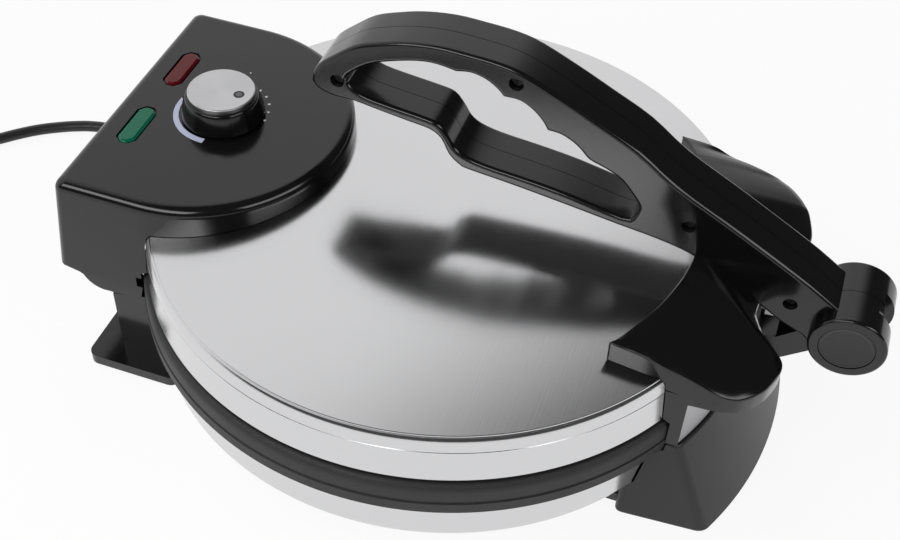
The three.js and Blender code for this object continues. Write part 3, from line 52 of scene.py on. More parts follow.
# Shapes read from the frame
low_lid, high_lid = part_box("lid_shell")
low_ring, high_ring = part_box("base_ring")
low_shell, high_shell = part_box("base_shell")
low_knob, high_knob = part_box("knob")
high_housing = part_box("control_housing")[1]
low_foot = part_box("front_foot")[0]
joints = {joint["name"]: joint for joint in frame["joints"]}
PLATE_Y = (low_lid.y + high_lid.y) / 2 / MM
PIVOT = Vector(joints["lever_pivot"]["pos_m"]) / MM
HINGE = Vector(joints["lid_hinge"]["pos_m"]) / MM
KNOB = Vector(((low_knob.x + high_knob.x) / 2, (low_knob.y + high_knob.y) / 2, low_knob.z)) / MM

# View: its direction, height, tilt and place
VIEW_AZIMUTH = math.radians(-72.8)
VIEW_ELEVATION = math.radians(45.8)
VIEW_ROLL = math.radians(2.9)
VIEW_PLACE = (-433.5, -117.8, 506.0)
FOCAL_LENGTH = 53.5
SENSOR_WIDTH = 36
NEAREST = 0.01


def add_camera():
    back = Vector((
        math.sin(VIEW_AZIMUTH) * math.cos(VIEW_ELEVATION),
        -math.cos(VIEW_AZIMUTH) * math.cos(VIEW_ELEVATION),
        math.sin(VIEW_ELEVATION),
    ))
    level = (-back).cross(Vector((0, 0, 1))).normalized()
    upright = level.cross(-back)
    right = level * math.cos(VIEW_ROLL) + upright * math.sin(VIEW_ROLL)
    up = upright * math.cos(VIEW_ROLL) - level * math.sin(VIEW_ROLL)
    data = bpy.data.cameras.new("camera")
    data.lens = FOCAL_LENGTH
    data.sensor_width = SENSOR_WIDTH
    data.clip_start = NEAREST
    camera = bpy.data.objects.new("camera", data)
    turn = Matrix((right, up, back)).transposed().to_4x4()
    camera.matrix_world = Matrix.Translation(Vector(VIEW_PLACE) * MM) @ turn
    bpy.context.scene.collection.objects.link(camera)
    bpy.context.scene.camera = camera


add_camera()
bpy.context.scene.view_settings.view_transform = "Standard"


# Surroundings: a white backdrop beyond the object, a dark room on the near side
BACKDROP_SIDE = (0.6, 0.8, 0.0)
BACKDROP_LIGHT = 0.95
ROOM_LIGHT = 0.06
BACKDROP_START = 0.15
BACKDROP_FULL = 0.5
TABLE_GLOW = 0.9
TABLE_REACH = 4.0


def add_studio():
    world = bpy.data.worlds.new("studio")
    bpy.context.scene.world = world
    world.use_nodes = True
    nodes, links = world.node_tree.nodes, world.node_tree.links
    nodes.clear()
    place = nodes.new("ShaderNodeTexCoord")
    facing = nodes.new("ShaderNodeVectorMath")
    facing.operation = "DOT_PRODUCT"
    facing.inputs[1].default_value = BACKDROP_SIDE
    edge = nodes.new("ShaderNodeMapRange")
    edge.interpolation_type = "SMOOTHSTEP"
    edge.inputs["From Min"].default_value = BACKDROP_START
    edge.inputs["From Max"].default_value = BACKDROP_FULL
    edge.inputs["To Min"].default_value = ROOM_LIGHT
    edge.inputs["To Max"].default_value = BACKDROP_LIGHT
    around = nodes.new("ShaderNodeBackground")
    paths = nodes.new("ShaderNodeLightPath")
    seen = nodes.new("ShaderNodeBackground")
    seen.inputs["Color"].default_value = (1, 1, 1, 1)
    mix = nodes.new("ShaderNodeMixShader")
    out = nodes.new("ShaderNodeOutputWorld")
    links.new(place.outputs["Generated"], facing.inputs[0])
    links.new(facing.outputs["Value"], edge.inputs["Value"])
    links.new(edge.outputs["Result"], around.inputs["Color"])
    links.new(paths.outputs["Is Camera Ray"], mix.inputs["Fac"])
    links.new(around.outputs[0], mix.inputs[1])
    links.new(seen.outputs[0], mix.inputs[2])
    links.new(mix.outputs[0], out.inputs["Surface"])


def add_panel(name, place, aim, size, power, mirrored=True):
    data = bpy.data.lights.new(name, "AREA")
    data.shape = "RECTANGLE"
    data.size, data.size_y = size
    data.energy = power
    lamp = bpy.data.objects.new(name, data)
    lamp.location = place
    away = Vector(place) - Vector(aim)
    lamp.rotation_euler = away.to_track_quat("Z", "Y").to_euler()
    lamp.visible_glossy = mirrored
    bpy.context.scene.collection.objects.link(lamp)


def add_floor():
    mesh = bpy.data.meshes.new("table")
    corners = [(x * TABLE_REACH, y * TABLE_REACH, 0) for x, y in ((-1, -1), (1, -1), (1, 1), (-1, 1))]
    mesh.from_pydata(corners, [], [(0, 1, 2, 3)])
    floor = bpy.data.objects.new("table", mesh)
    bpy.context.scene.collection.objects.link(floor)
    material = bpy.data.materials.new("table_white")
    material.use_nodes = True
    nodes, links = material.node_tree.nodes, material.node_tree.links
    shader = nodes["Principled BSDF"]
    shader.inputs["Base Color"].default_value = (0.8, 0.8, 0.8, 1)
    shader.inputs["Roughness"].default_value = 0.9
    paths = nodes.new("ShaderNodeLightPath")
    glow = nodes.new("ShaderNodeEmission")
    glow.inputs["Strength"].default_value = 1.0
    mix = nodes.new("ShaderNodeMixShader")
    seen = nodes.new("ShaderNodeMath")
    seen.operation = "MAXIMUM"
    seen_or_through = nodes.new("ShaderNodeMath")
    seen_or_through.operation = "MAXIMUM"
    share = nodes.new("ShaderNodeMath")
    share.operation = "MULTIPLY"
    share.inputs[1].default_value = TABLE_GLOW
    links.new(paths.outputs["Is Camera Ray"], seen.inputs[0])
    links.new(paths.outputs["Is Glossy Ray"], seen.inputs[1])
    links.new(seen.outputs[0], seen_or_through.inputs[0])
    links.new(paths.outputs["Is Transmission Ray"], seen_or_through.inputs[1])
    links.new(seen_or_through.outputs[0], share.inputs[0])
    links.new(share.outputs[0], mix.inputs["Fac"])
    links.new(shader.outputs[0], mix.inputs[1])
    links.new(glow.outputs[0], mix.inputs[2])
    links.new(mix.outputs[0], nodes["Material Output"].inputs["Surface"])
    mesh.materials.append(material)


add_studio()
add_floor()
add_panel("sky_panel", (-0.35, 0.75, 1.5), (0, 0, 0.08), (1.5, 1.1), 13, False)
add_panel("left_panel", (-1.15, 0.4, 1.0), (0, 0, 0.06), (1.2, 0.5), 9)
add_panel("front_panel", (-0.45, -1.2, 0.95), (0, 0, 0.08), (1.2, 0.5), 6)


# Materials
def new_material(name, colour, roughness, metallic=0.0):
    material = bpy.data.materials.new(name)
    material.use_nodes = True
    shader = material.node_tree.nodes["Principled BSDF"]
    shader.inputs["Base Color"].default_value = (*colour, 1)
    shader.inputs["Roughness"].default_value = roughness
    shader.inputs["Metallic"].default_value = metallic
    return material, material.node_tree.nodes, material.node_tree.links, shader


def object_place(nodes, links, stretch):
    place = nodes.new("ShaderNodeTexCoord")
    scaled = nodes.new("ShaderNodeMapping")
    scaled.inputs["Scale"].default_value = stretch
    links.new(place.outputs["Object"], scaled.inputs["Vector"])
    return scaled.outputs["Vector"]


def add_noise(nodes, links, vector, scale, detail=4.0, roughness=0.6):
    noise = nodes.new("ShaderNodeTexNoise")
    noise.inputs["Scale"].default_value = scale
    noise.inputs["Detail"].default_value = detail
    noise.inputs["Roughness"].default_value = roughness
    links.new(vector, noise.inputs["Vector"])
    return noise.outputs["Fac"]


def add_range(nodes, links, value, low, high):
    spread = nodes.new("ShaderNodeMapRange")
    spread.inputs["To Min"].default_value = low
    spread.inputs["To Max"].default_value = high
    links.new(value, spread.inputs["Value"])
    return spread.outputs["Result"]


def add_bump(nodes, links, shader, height, strength, distance):
    bump = nodes.new("ShaderNodeBump")
    bump.inputs["Strength"].default_value = strength
    bump.inputs["Distance"].default_value = distance
    links.new(height, bump.inputs["Height"])
    links.new(bump.outputs["Normal"], shader.inputs["Normal"])


# Brushed sheet: long fine scratches one way, with slow changes of gloss
def steel_material(name, colour, roughness, brushing=(3, 260, 30)):
    material, nodes, links, shader = new_material(name, colour, roughness, 1.0)
    shader.inputs["Anisotropic"].default_value = 0.35
    scratches = add_noise(nodes, links, object_place(nodes, links, brushing), 6.0, 6.0, 0.7)
    clouds = add_noise(nodes, links, object_place(nodes, links, (1, 1, 1)), 14.0, 2.0)
    both = nodes.new("ShaderNodeMath")
    both.operation = "MULTIPLY_ADD"
    both.inputs[1].default_value = 0.7
    links.new(scratches, both.inputs[0])
    links.new(clouds, both.inputs[2])
    gloss = add_range(nodes, links, both.outputs[0], roughness - 0.03, roughness + 0.06)
    links.new(gloss, shader.inputs["Roughness"])
    add_bump(nodes, links, shader, scratches, 0.035, 0.0004)
    return material


# Moulded black plastic: gloss that varies slowly over a faint ripple
def plastic_material(name, colour, roughness, ripple=0.02, grain_scale=60.0):
    material, nodes, links, shader = new_material(name, colour, roughness)
    vector = object_place(nodes, links, (1, 1, 1))
    smudges = add_noise(nodes, links, vector, 18.0, 3.0)
    grain = add_noise(nodes, links, vector, grain_scale, 2.0)
    gloss = add_range(nodes, links, smudges, roughness - 0.04, roughness + 0.05)
    links.new(gloss, shader.inputs["Roughness"])
    add_bump(nodes, links, shader, grain, ripple, 0.001)
    return material


# Finely pitted matte moulding, as on the ring and the pads
def matte_material(name, colour, roughness, depth=0.5, scale=900.0):
    material, nodes, links, shader = new_material(name, colour, roughness)
    vector = object_place(nodes, links, (1, 1, 1))
    pits = add_noise(nodes, links, vector, scale, 3.0, 0.7)
    wear = add_noise(nodes, links, vector, 30.0, 3.0)
    gloss = add_range(nodes, links, wear, roughness - 0.08, roughness + 0.08)
    links.new(gloss, shader.inputs["Roughness"])
    add_bump(nodes, links, shader, pits, depth, 0.0004)
    return material


def lens_material(name, colour):
    material, nodes, links, shader = new_material(name, colour, 0.16)
    shader.inputs["Specular IOR Level"].default_value = 0.3
    vector = object_place(nodes, links, (1, 1, 1))
    ribs = nodes.new("ShaderNodeTexWave")
    ribs.inputs["Scale"].default_value = 230.0
    ribs.inputs["Distortion"].default_value = 0.6
    links.new(vector, ribs.inputs["Vector"])
    # Each rib's colour runs from darker to lighter than the lens colour: painted light and shade across the ribs,
    # over their real ripple in the bump
    rib_shade_ramp = nodes.new("ShaderNodeValToRGB")
    rib_shade_ramp.color_ramp.elements[0].color = (*[c * 0.75 for c in colour], 1)
    rib_shade_ramp.color_ramp.elements[1].color = (*[min(c * 1.3, 1) for c in colour], 1)
    links.new(ribs.outputs["Fac"], rib_shade_ramp.inputs["Fac"])
    links.new(rib_shade_ramp.outputs["Color"], shader.inputs["Base Color"])
    add_bump(nodes, links, shader, ribs.outputs["Fac"], 0.08, 0.0003)
    return material


MATERIALS = {
    "stainless": steel_material("brushed_stainless", (0.66, 0.66, 0.67), 0.125),
    "black_gloss": plastic_material("black_gloss_moulding", (0.0045, 0.0045, 0.0048), 0.14),
    "black_matte": matte_material("black_matte_moulding", (0.013, 0.013, 0.0135), 0.55),
    "silver_cap": steel_material("satin_silver", (0.56, 0.56, 0.57), 0.3, (90, 90, 10)),
    "cast_plate": matte_material("non_stick_coating", (0.02, 0.02, 0.02), 0.45, 0.25, 500.0),
    "heater_steel": steel_material("heater_sheath", (0.22, 0.21, 0.2), 0.5),
    "fastener_steel": steel_material("blackened_steel", (0.06, 0.06, 0.06), 0.4),
    "rubber_black": matte_material("black_rubber", (0.012, 0.012, 0.012), 0.6, 0.3, 700.0),
    "green_lens": lens_material("green_lens_plastic", (0.002, 0.1, 0.055)),
    "red_lens": lens_material("red_lens_plastic", (0.085, 0.002, 0.004)),
    "lamp_glass": plastic_material("lamp_glass", (0.6, 0.5, 0.4), 0.1),
    "cord": matte_material("cord_jacket", (0.012, 0.012, 0.0125), 0.42, 0.12, 900.0),
    "plug_brass": steel_material("bright_brass", (0.72, 0.55, 0.25), 0.25),
}
SATIN_BLACK = plastic_material("satin_black_moulding", (0.016, 0.016, 0.018), 0.34)
POINTER_GREY = new_material("pointer_grey", (0.09, 0.09, 0.095), 0.4)[0]
# Apron facing: a dimmer copy of the brushed stainless, painted shade for the steel under the nose's overhang
SHADED_FACING_STEEL = steel_material("facing_steel_painted_shade", (0.4, 0.4, 0.41), 0.3)
SLOT_OF = {part["node"]: part["material_slot"] for part in frame["record"]["subparts"]}


def dress_frame():
    for name, node in frame["nodes"].items():
        node.data.materials.clear()
        node.data.materials.append(MATERIALS[SLOT_OF[name]])


dress_frame()


# Cord: out of its strain relief, along the table, into a tied coil of three turns, and to its plug
CORD_RADIUS = 3.1
CORD_ROUTE = [
    (50, 173.3, 14.5), (50, 180, 14.5), (51, 188.5, 13.5), (54.3, 197.3, 10.2), (59.3, 205, 6.5),
    (64.9, 212.6, 4), (68.2, 220.8, 3.2), (69.4, 229.5, 3.2), (67.8, 238.5, 3.2), (64.6, 247, 3.2),
    (60, 255.8, 3.2), (53.6, 265.6, 3.2), (46.2, 274.2, 3.2), (39, 281.4, 3.2), (28.5, 292.2, 3.4),
]
COIL_CENTRE = (33.0, 344.0)
COIL_OUTER = 39.0
COIL_INNER = 29.0
COIL_TURNS = 3
COIL_STEPS = 24 * COIL_TURNS
COIL_LOW = 4.1
COIL_RISE = 6.9
COIL_LEAD = Vector((-0.68, 0.73, 0)).normalized()
CORD_TAIL = 68.6
PLUG_Z = 8.5


def coil_place(share):
    inward = 1 - abs(2 * share - 1)
    radius = COIL_OUTER + (COIL_INNER - COIL_OUTER) * inward
    step = min(max(((share - 0.5) * COIL_TURNS + 0.25) / 0.5, 0.0), 1.0)
    angle = math.atan2(COIL_LEAD.y, COIL_LEAD.x) + math.pi / 2 - 2 * math.pi * COIL_TURNS * share
    height = COIL_LOW + COIL_RISE * step * step * (3 - 2 * step)
    x, y = COIL_CENTRE
    return Vector((x + radius * math.cos(angle), y + radius * math.sin(angle), height))


def make_cord():
    coil = [coil_place(i / COIL_STEPS) for i in range(COIL_STEPS + 1)]
    points = [Vector(point) for point in CORD_ROUTE]
    points.append(coil[0] - COIL_LEAD * 4 * CORD_RADIUS)
    points.append(coil[0] - COIL_LEAD * 2 * CORD_RADIUS)
    points += coil
    for share, z in ((0.12, None), (0.5, (coil[-1].z + PLUG_Z) / 2.2), (0.88, PLUG_Z), (1.0, PLUG_Z)):
        place = coil[-1] + COIL_LEAD * (2 * CORD_RADIUS + CORD_TAIL * share)
        place.z = coil[-1].z if z is None else z
        points.append(place)
    curve = bpy.data.curves.new("mains_cord", "CURVE")
    curve.dimensions = "3D"
    curve.bevel_depth = CORD_RADIUS * MM
    curve.bevel_resolution = 6
    curve.resolution_u = 8
    curve.use_fill_caps = True
    line = curve.splines.new("BEZIER")
    line.bezier_points.add(len(points) - 1)
    for knot, point in zip(line.bezier_points, points):
        knot.co = (point + Vector((0, PLATE_Y, 0))) * MM
        knot.handle_left_type = knot.handle_right_type = "AUTO"
    line.use_smooth = True
    curve.materials.append(MATERIALS["cord"])
    cord = bpy.data.objects.new("mains_cord", curve)
    bpy.context.scene.collection.objects.link(cord)
    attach(cord, "base")
    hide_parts("cord", "cord_coil", "cord_end")


make_cord()


# Mesh helpers: shapes are made in millimetres about the axis of the plates, in plan,
# and each is scaled to metres and attached to its body
def turned(profile, steps=160, centre=(0.0, 0.0)):
    rings = []
    for step in range(steps):
        angle = 2 * math.pi * step / steps
        rings.append([
            (centre[0] + r * math.cos(angle), centre[1] + r * math.sin(angle), z) for r, z in profile
        ])
    return stitched(rings, closed_round=True, closed_section=profile[0][0] > 0)


def stitched(rings, closed_round=False, closed_section=True):
    mesh = bmesh.new()
    rows = [[mesh.verts.new(point) for point in ring] for ring in rings]
    count = len(rows[0])
    for i in range(len(rows) if closed_round else len(rows) - 1):
        row, after = rows[i], rows[(i + 1) % len(rows)]
        for k in range(count if closed_section else count - 1):
            mesh.faces.new((row[k], after[k], after[(k + 1) % count], row[(k + 1) % count]))
    if not closed_round and closed_section:
        mesh.faces.new(rows[0])
        mesh.faces.new(rows[-1][::-1])
    bmesh.ops.remove_doubles(mesh, verts=mesh.verts, dist=0.0005)
    bmesh.ops.dissolve_degenerate(mesh, edges=mesh.edges, dist=0.0001)
    bmesh.ops.recalc_face_normals(mesh, faces=mesh.faces)
    return mesh


def as_object(name, mesh):
    data = bpy.data.meshes.new(name)
    mesh.to_mesh(data)
    mesh.free()
    obj = bpy.data.objects.new(name, data)
    bpy.context.scene.collection.objects.link(obj)
    return obj


def carve(obj, tool_mesh, operation="DIFFERENCE"):
    tool = as_object("tool", tool_mesh)
    carver = obj.modifiers.new("carve", "BOOLEAN")
    carver.operation = operation
    carver.solver = "MANIFOLD"
    carver.object = tool
    apply_modifiers(obj)
    bpy.data.objects.remove(tool)


def apply_modifiers(obj):
    graph = bpy.context.evaluated_depsgraph_get()
    data = bpy.data.meshes.new_from_object(obj.evaluated_get(graph))
    obj.modifiers.clear()
    obj.data = data


def settle(obj, body, slot, nodes=(), sharp=34.0, material=None, lift=(0, PLATE_Y, 0)):
    obj.data.transform(Matrix.Scale(MM, 4) @ Matrix.Translation(lift))
    mesh = bmesh.new()
    mesh.from_mesh(obj.data)
    for face in mesh.faces:
        face.smooth = True
    for edge in mesh.edges:
        edge.smooth = len(edge.link_faces) == 2 and edge.calc_face_angle(0.0) < math.radians(sharp)
    mesh.to_mesh(obj.data)
    mesh.free()
    evener = obj.modifiers.new("even", "WEIGHTED_NORMAL")
    evener.keep_sharp = True
    obj.data.materials.clear()
    obj.data.materials.append(material or MATERIALS[slot])
    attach(obj, body)
    if nodes:
        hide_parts(*nodes)


def arc(centre_a, centre_b, radius, start, end, steps):
    points = []
    for i in range(steps + 1):
        angle = math.radians(start + (end - start) * i / steps)
        points.append((centre_a + radius * math.cos(angle), centre_b + radius * math.sin(angle)))
    return points


def rod(start, end, radius, steps=48):
    start, end = Vector(start), Vector(end)
    mesh = bmesh.new()
    turn = (end - start).to_track_quat("Z", "Y").to_matrix().to_4x4()
    place = Matrix.Translation((start + end) / 2) @ turn
    bmesh.ops.create_cone(
        mesh, cap_ends=True, segments=steps, radius1=radius, radius2=radius,
        depth=(end - start).length, matrix=place,
    )
    return mesh


def prism(points, low, high, across=False):
    rings = []
    for level in (low, high):
        rings.append([(level, a, b) if across else (a, b, level) for a, b in points])
    return stitched(rings)


def smooth_line(points, steps, closed=False):
    line = []
    count = len(points)
    spans = count if closed else count - 1
    for i in range(spans):
        if closed:
            p = [Vector(points[(i + k) % count]) for k in (-1, 0, 1, 2)]
        else:
            p = [Vector(points[min(max(i + k, 0), count - 1)]) for k in (-1, 0, 1, 2)]
        for step in range(steps):
            t = step / steps
            a = p[1] * 2
            b = (p[2] - p[0]) * t
            c = (p[0] * 2 - p[1] * 5 + p[2] * 4 - p[3]) * t * t
            d = (p[1] * 3 - p[0] - p[2] * 3 + p[3]) * t * t * t
            line.append(tuple((a + b + c + d) / 2))
    if not closed:
        line.append(tuple(Vector(points[-1])))
    return line


# Dome and rings, from the sizes of their nodes
SHEET = 1.2
LID_RADIUS = (high_lid.x - low_lid.x) / 2 / MM
LID_LOW = low_lid.z / MM
CROWN = high_lid.z / MM
DOME_RADIUS = 136.0
DOME_RISE = 8.0
BAND_Z = LID_LOW + 16.0
RING_RADIUS = (high_ring.x - low_ring.x) / 2 / MM
RING_LOW = low_ring.z / MM
RING_HIGH = high_ring.z / MM
RING_INNER = 129.0
LEDGE_INNER = 123.5
LEDGE_LOW = 51.0
LEDGE_HIGH = 54.0
PAN_HOLE = 111.0
PAN_FILLET = 3.4
PAN_TAPER = 0.6
PAN_FLANGE = 10.0
CLEARANCE = 0.3


def dome_z(radius):
    return CROWN - DOME_RISE * (radius / DOME_RADIUS) ** 2


def make_lid_shell():
    dome = [(DOME_RADIUS * i / 30, dome_z(DOME_RADIUS * i / 30)) for i in range(30)]
    edge = [
        (135.8, dome_z(135.8)),
        (136.05, 84.7),
        (136.15, 84.25),
        (136.4, 84.2),
        (136.7, 84.15),
        (137.1, 83.65),
        (137.6, 82.75),
        (138.05, 81.55),
        (138.4, 80.2),
        (138.65, 78.8),
        (138.75, 78.0),
        (138.6, 77.75),
        (138.62, 77.5),
        (138.8, 77.3),
        (138.85, 76.6),
    ]
    skirt = [(138.85 + (LID_RADIUS - 138.85) * i / 4, 76.0 + (LID_LOW - 76.0) * i / 4) for i in range(1, 5)]
    inside = [
        (LID_RADIUS - SHEET, LID_LOW),
        (137.5, BAND_Z),
        (136.0, 81.4),
        (134.8, dome_z(134.8) - SHEET * 1.3),
        (100.0, dome_z(100) - SHEET),
        (50.0, dome_z(50) - SHEET),
        (0.0, CROWN - SHEET),
    ]
    lid = as_object("lid_dome", turned(dome + edge + skirt + inside, 220))
    settle(lid, "lid", "stainless", ["lid_shell"], 28.0)


def make_base_ring():
    outer = RING_RADIUS
    groove = RING_LOW + 7.0
    profile = [
        (RING_INNER, RING_LOW),
        (outer - 0.6, RING_LOW),
        (outer, RING_LOW + 0.7),
        (outer, groove - 0.7),
        (outer - 0.7, groove - 0.4),
        (outer - 0.9, groove + 0.2),
        (outer - 0.35, groove + 0.8),
        (outer - 0.5, RING_HIGH - 4.5),
        (outer - 0.9, RING_HIGH - 2.4),
        (outer - 1.9, RING_HIGH - 0.9),
        (outer - 3.6, RING_HIGH),
        (RING_INNER, RING_HIGH),
        (RING_INNER, LEDGE_HIGH),
        (LEDGE_INNER, LEDGE_HIGH),
        (LEDGE_INNER, LEDGE_LOW),
        (RING_INNER, LEDGE_LOW),
    ]
    ring = as_object("ring_moulding", turned(profile, 200))
    settle(ring, "base", "black_matte", ["base_ring"], 38.0)


def make_base_shell():
    low, high = low_shell.z / MM, high_shell.z / MM
    outer = (high_shell.x - low_shell.x) / 2 / MM
    foot = outer - PAN_TAPER
    profile = [(PAN_HOLE, low), (foot - PAN_FILLET, low)]
    profile += [(foot - PAN_FILLET + x, low + PAN_FILLET + z) for x, z in arc(0, 0, PAN_FILLET, -80, 0, 7)]
    profile += [
        (outer, high - 0.4),
        (outer - 0.4, high),
        (outer - PAN_FLANGE, high),
        (outer - PAN_FLANGE, high - SHEET),
        (outer - SHEET, high - SHEET),
        (foot - SHEET, low + PAN_FILLET),
        (foot - PAN_FILLET, low + SHEET),
        (PAN_HOLE, low + SHEET),
    ]
    shell = as_object("base_pan", turned(profile, 200))
    settle(shell, "base", "stainless", ["base_shell"], 38.0)


make_lid_shell()
make_base_ring()
make_base_shell()


# Everything inside the lid's outside and the ring, grown by a gap, which outer covers stay clear of
def lid_room(gap):
    dome = [(DOME_RADIUS * i / 16, dome_z(DOME_RADIUS * i / 16) + gap) for i in range(17)]
    return turned(
        dome
        + [
            (137.7 + gap, 83.0),
            (138.9 + gap, 77.0),
            (LID_RADIUS + gap, LID_LOW + gap),
            (RING_RADIUS + gap, RING_HIGH + gap),
            (RING_RADIUS + gap, 20.0),
            (0.0, 20.0),
        ],
        200,
    )


# Everything inside the pan and the ring, grown by a gap
def base_room(gap):
    pan = (high_shell.x - low_shell.x) / 2 / MM
    low = low_shell.z / MM
    return turned([
        (0.0, low - gap),
        (pan - 4.0 + gap, low - gap),
        (pan - PAN_TAPER + gap, low + PAN_FILLET),
        (pan + gap, RING_LOW - gap),
        (RING_RADIUS + gap, RING_LOW - gap),
        (RING_RADIUS + gap, RING_HIGH + 40.0),
        (0.0, RING_HIGH + 40.0),
    ], 200)


# Control housing: a D in plan whose walls lean in toward a rounded top edge
HOUSING_TOP = high_housing.z / MM
HOUSING_FILLET = 5.0
HOUSING_WALL = 3.0
HOUSING_REAR = 167.8
HOUSING_LEAN = 4.6
HOUSING_HALF = high_housing.x / MM
HOUSING_SHOULDER = HOUSING_TOP - HOUSING_FILLET
HOUSING_ARC_Y = 122.7
HOUSING_CORNER = 4.5
HINGE_Y = HINGE.y - PLATE_Y
HINGE_Z = HINGE.z
HOUSING_LOW = 51.3
HOUSING_WALL_RISE = 46.7
RIB_RADIUS = 8.5
RIB_NEAR = 54.4
RIB_FAR = 59.4


def housing_plan(z, inset):
    share = min(max((z - 50.0) / 48.0, 0.0), 1.0)
    half = HOUSING_HALF - 2.0 * share - inset
    rear = HOUSING_REAR - HOUSING_LEAN * min((z - HOUSING_LOW) / HOUSING_WALL_RISE, 1.0) - inset
    corner = max(HOUSING_CORNER - inset * 0.4, 1.0)
    points = arc(0, HOUSING_ARC_Y, half, 180, 360, 64)
    points += arc(half - corner, rear - corner, corner, 0, 90, 6)
    points += arc(corner - half, rear - corner, corner, 90, 180, 6)
    return [(x, y, z) for x, y in points]


def housing_underside():
    behind = HOUSING_REAR + 9.0
    side = [(40.0, 0.0), (behind, 0.0), (behind, HOUSING_LOW), (163.0, 50.4), (156.7, 49.0)]
    side += arc(HINGE_Y, HINGE_Z, 11.3, -24, -100, 14)
    side += [(139.5, 41.2), (125.2, 43.3), (123.6, 50.0), (123.4, 59.6), (119.4, 61.0), (116.0, 72.0)]
    side += [(40.0, 72.0)]
    return prism(side, -90.0, 90.0, across=True)


LENS_X = {-1: -22.0, 1: 23.5}
LENS_Y = 146.5
LENS_HALF = (13.0, 4.3)
LENS_CUT = 2.9


def lens_outline(side, grow):
    half_x, half_y, cut = LENS_HALF[0] + grow, LENS_HALF[1] + grow, LENS_CUT + grow * 0.6
    corners = [(1, 1, 0), (1, 1, 1), (-1, 1, 1), (-1, 1, 0), (-1, -1, 0), (-1, -1, 1), (1, -1, 1), (1, -1, 0)]
    points = []
    for a, b, along in corners:
        x = LENS_X[side] + a * (half_x - cut * along)
        points.append((x, LENS_Y + b * (half_y - cut * 0.9 * (1 - along))))
    rounded = []
    for k, point in enumerate(points):
        before, after = Vector(points[k - 1]), Vector(points[(k + 1) % 8])
        here = Vector(point)
        rounded.append(here + (before - here).normalized() * 0.7)
        rounded.append(here + (before - here).normalized() * 0.15 + (after - here).normalized() * 0.15)
        rounded.append(here + (after - here).normalized() * 0.7)
    return [tuple(point) for point in rounded]


def make_control_housing():
    rings = [housing_plan(z, 0.0) for z in (38.0, 50.0, 66.0, 82.0, HOUSING_SHOULDER)]
    for step in range(1, 9):
        angle = math.pi / 2 * step / 8
        rise, inset = HOUSING_FILLET * math.sin(angle), HOUSING_FILLET * (1 - math.cos(angle))
        rings.append(housing_plan(HOUSING_SHOULDER + rise, inset))
    housing = as_object("housing_cover_top", stitched(rings))
    inside = stitched([housing_plan(z, HOUSING_WALL) for z in (36.0, 50.0, HOUSING_TOP - HOUSING_WALL)])
    carve(housing, inside)
    carve(housing, housing_underside())
    for side in (-1, 1):
        block = prism(lens_outline(side, 2.0), HOUSING_TOP - 7.0, HOUSING_TOP - 2.0)
        carve(housing, block, "UNION")
        rib = [(HINGE_Y - RIB_RADIUS, HINGE_Z), (HINGE_Y - RIB_RADIUS, 100.0), (158.5, 100.0), (164.4, 52.5)]
        rib += arc(HINGE_Y, HINGE_Z, RIB_RADIUS, -70, -180, 8)
        left, right = sorted((side * RIB_NEAR, side * RIB_FAR))
        carve(housing, prism(rib, left, right, True), "UNION")
    for side in (-1, 1):
        carve(housing, prism(lens_outline(side, 0.9), HOUSING_TOP - 1.0, HOUSING_TOP + 3.0))
        carve(housing, prism(lens_outline(side, 0.25), HOUSING_TOP - 5.2, HOUSING_TOP))
    carve(housing, rod((0, KNOB.y - PLATE_Y, 90), (0, KNOB.y - PLATE_Y, 110), 4.0))
    carve(housing, lid_room(CLEARANCE))
    notch = [(120.0, 50.6), (126.4, 50.6), (126.4, 56.2), (120.0, 56.2)]
    carve(housing, prism(notch, -90.0, -65.0, True))
    carve(housing, prism(notch, 65.0, 90.0, True))
    settle(housing, "lid", "black_gloss", ["control_housing"], 30.0)


def make_lenses():
    for side, name, slot in ((-1, "green", "green_lens"), (1, "red", "red_lens")):
        rings = []
        for rise, grow in ((-5.0, 0.0), (-0.2, 0.0), (0.7, -1.0), (0.75, -1.2)):
            rings.append([(x, y, HOUSING_TOP + rise) for x, y in lens_outline(side, grow)])
        lens = as_object(f"{name}_lens_ribbed", stitched(rings))
        settle(lens, "lid", slot, [f"{name}_lens"], 40.0)


# Marks printed round the knob: dots one side, a growing crescent the other
MARK_RISE = 0.12
DIAL_DOTS = [
    (22.2, 104.1, 0.62), (18.8, 99.5, 0.68), (14.2, 95.9, 0.72),
    (8.6, 93.8, 0.72), (2.5, 92.8, 0.72), (32.8, 114.3, 0.4),
]
CRESCENT_START = 82
CRESCENT_END = 180


def add_mark(name, outline, material, body="lid"):
    base = HOUSING_TOP - 0.05
    mark = as_object(name, prism(outline, base, HOUSING_TOP + MARK_RISE))
    settle(mark, body, "silver_cap", material=material)


def make_dial():
    paint = new_material("dial_paint", (0.75, 0.76, 0.78), 0.5)[0]
    band_paint = new_material("dial_band_paint", (0.42, 0.44, 0.58), 0.5)[0]
    knob_y = KNOB.y - PLATE_Y
    for index, (x, y, radius) in enumerate(DIAL_DOTS):
        add_mark(f"dial_dot_{index + 1}", arc(x, y, radius, 0, 345, 12), paint)
    inner, outer = [], []
    for step in range(25):
        share = step / 24
        angle = math.radians(CRESCENT_START + (CRESCENT_END - CRESCENT_START) * share)
        reach, width = 23.9 - 1.1 * share, 2.3 + 0.8 * share
        inner.append(((reach - width) * math.cos(angle), knob_y + (reach - width) * math.sin(angle)))
        outer.append((reach * math.cos(angle), knob_y + reach * math.sin(angle)))
    add_mark("dial_crescent", outer + inner[::-1], band_paint)


# Knob: a ribbed black skirt that narrows to a seat for its silver cap
KNOB_RADIUS = (high_knob.x - low_knob.x) / 2 / MM
CAP_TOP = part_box("knob_cap")[1].z / MM
CAP_RADIUS = 15.8
CAP_ROUND = 0.7
KNOB_RIBS = 72
RIB_DEPTH = 0.12
POINTER_Y = -9.1


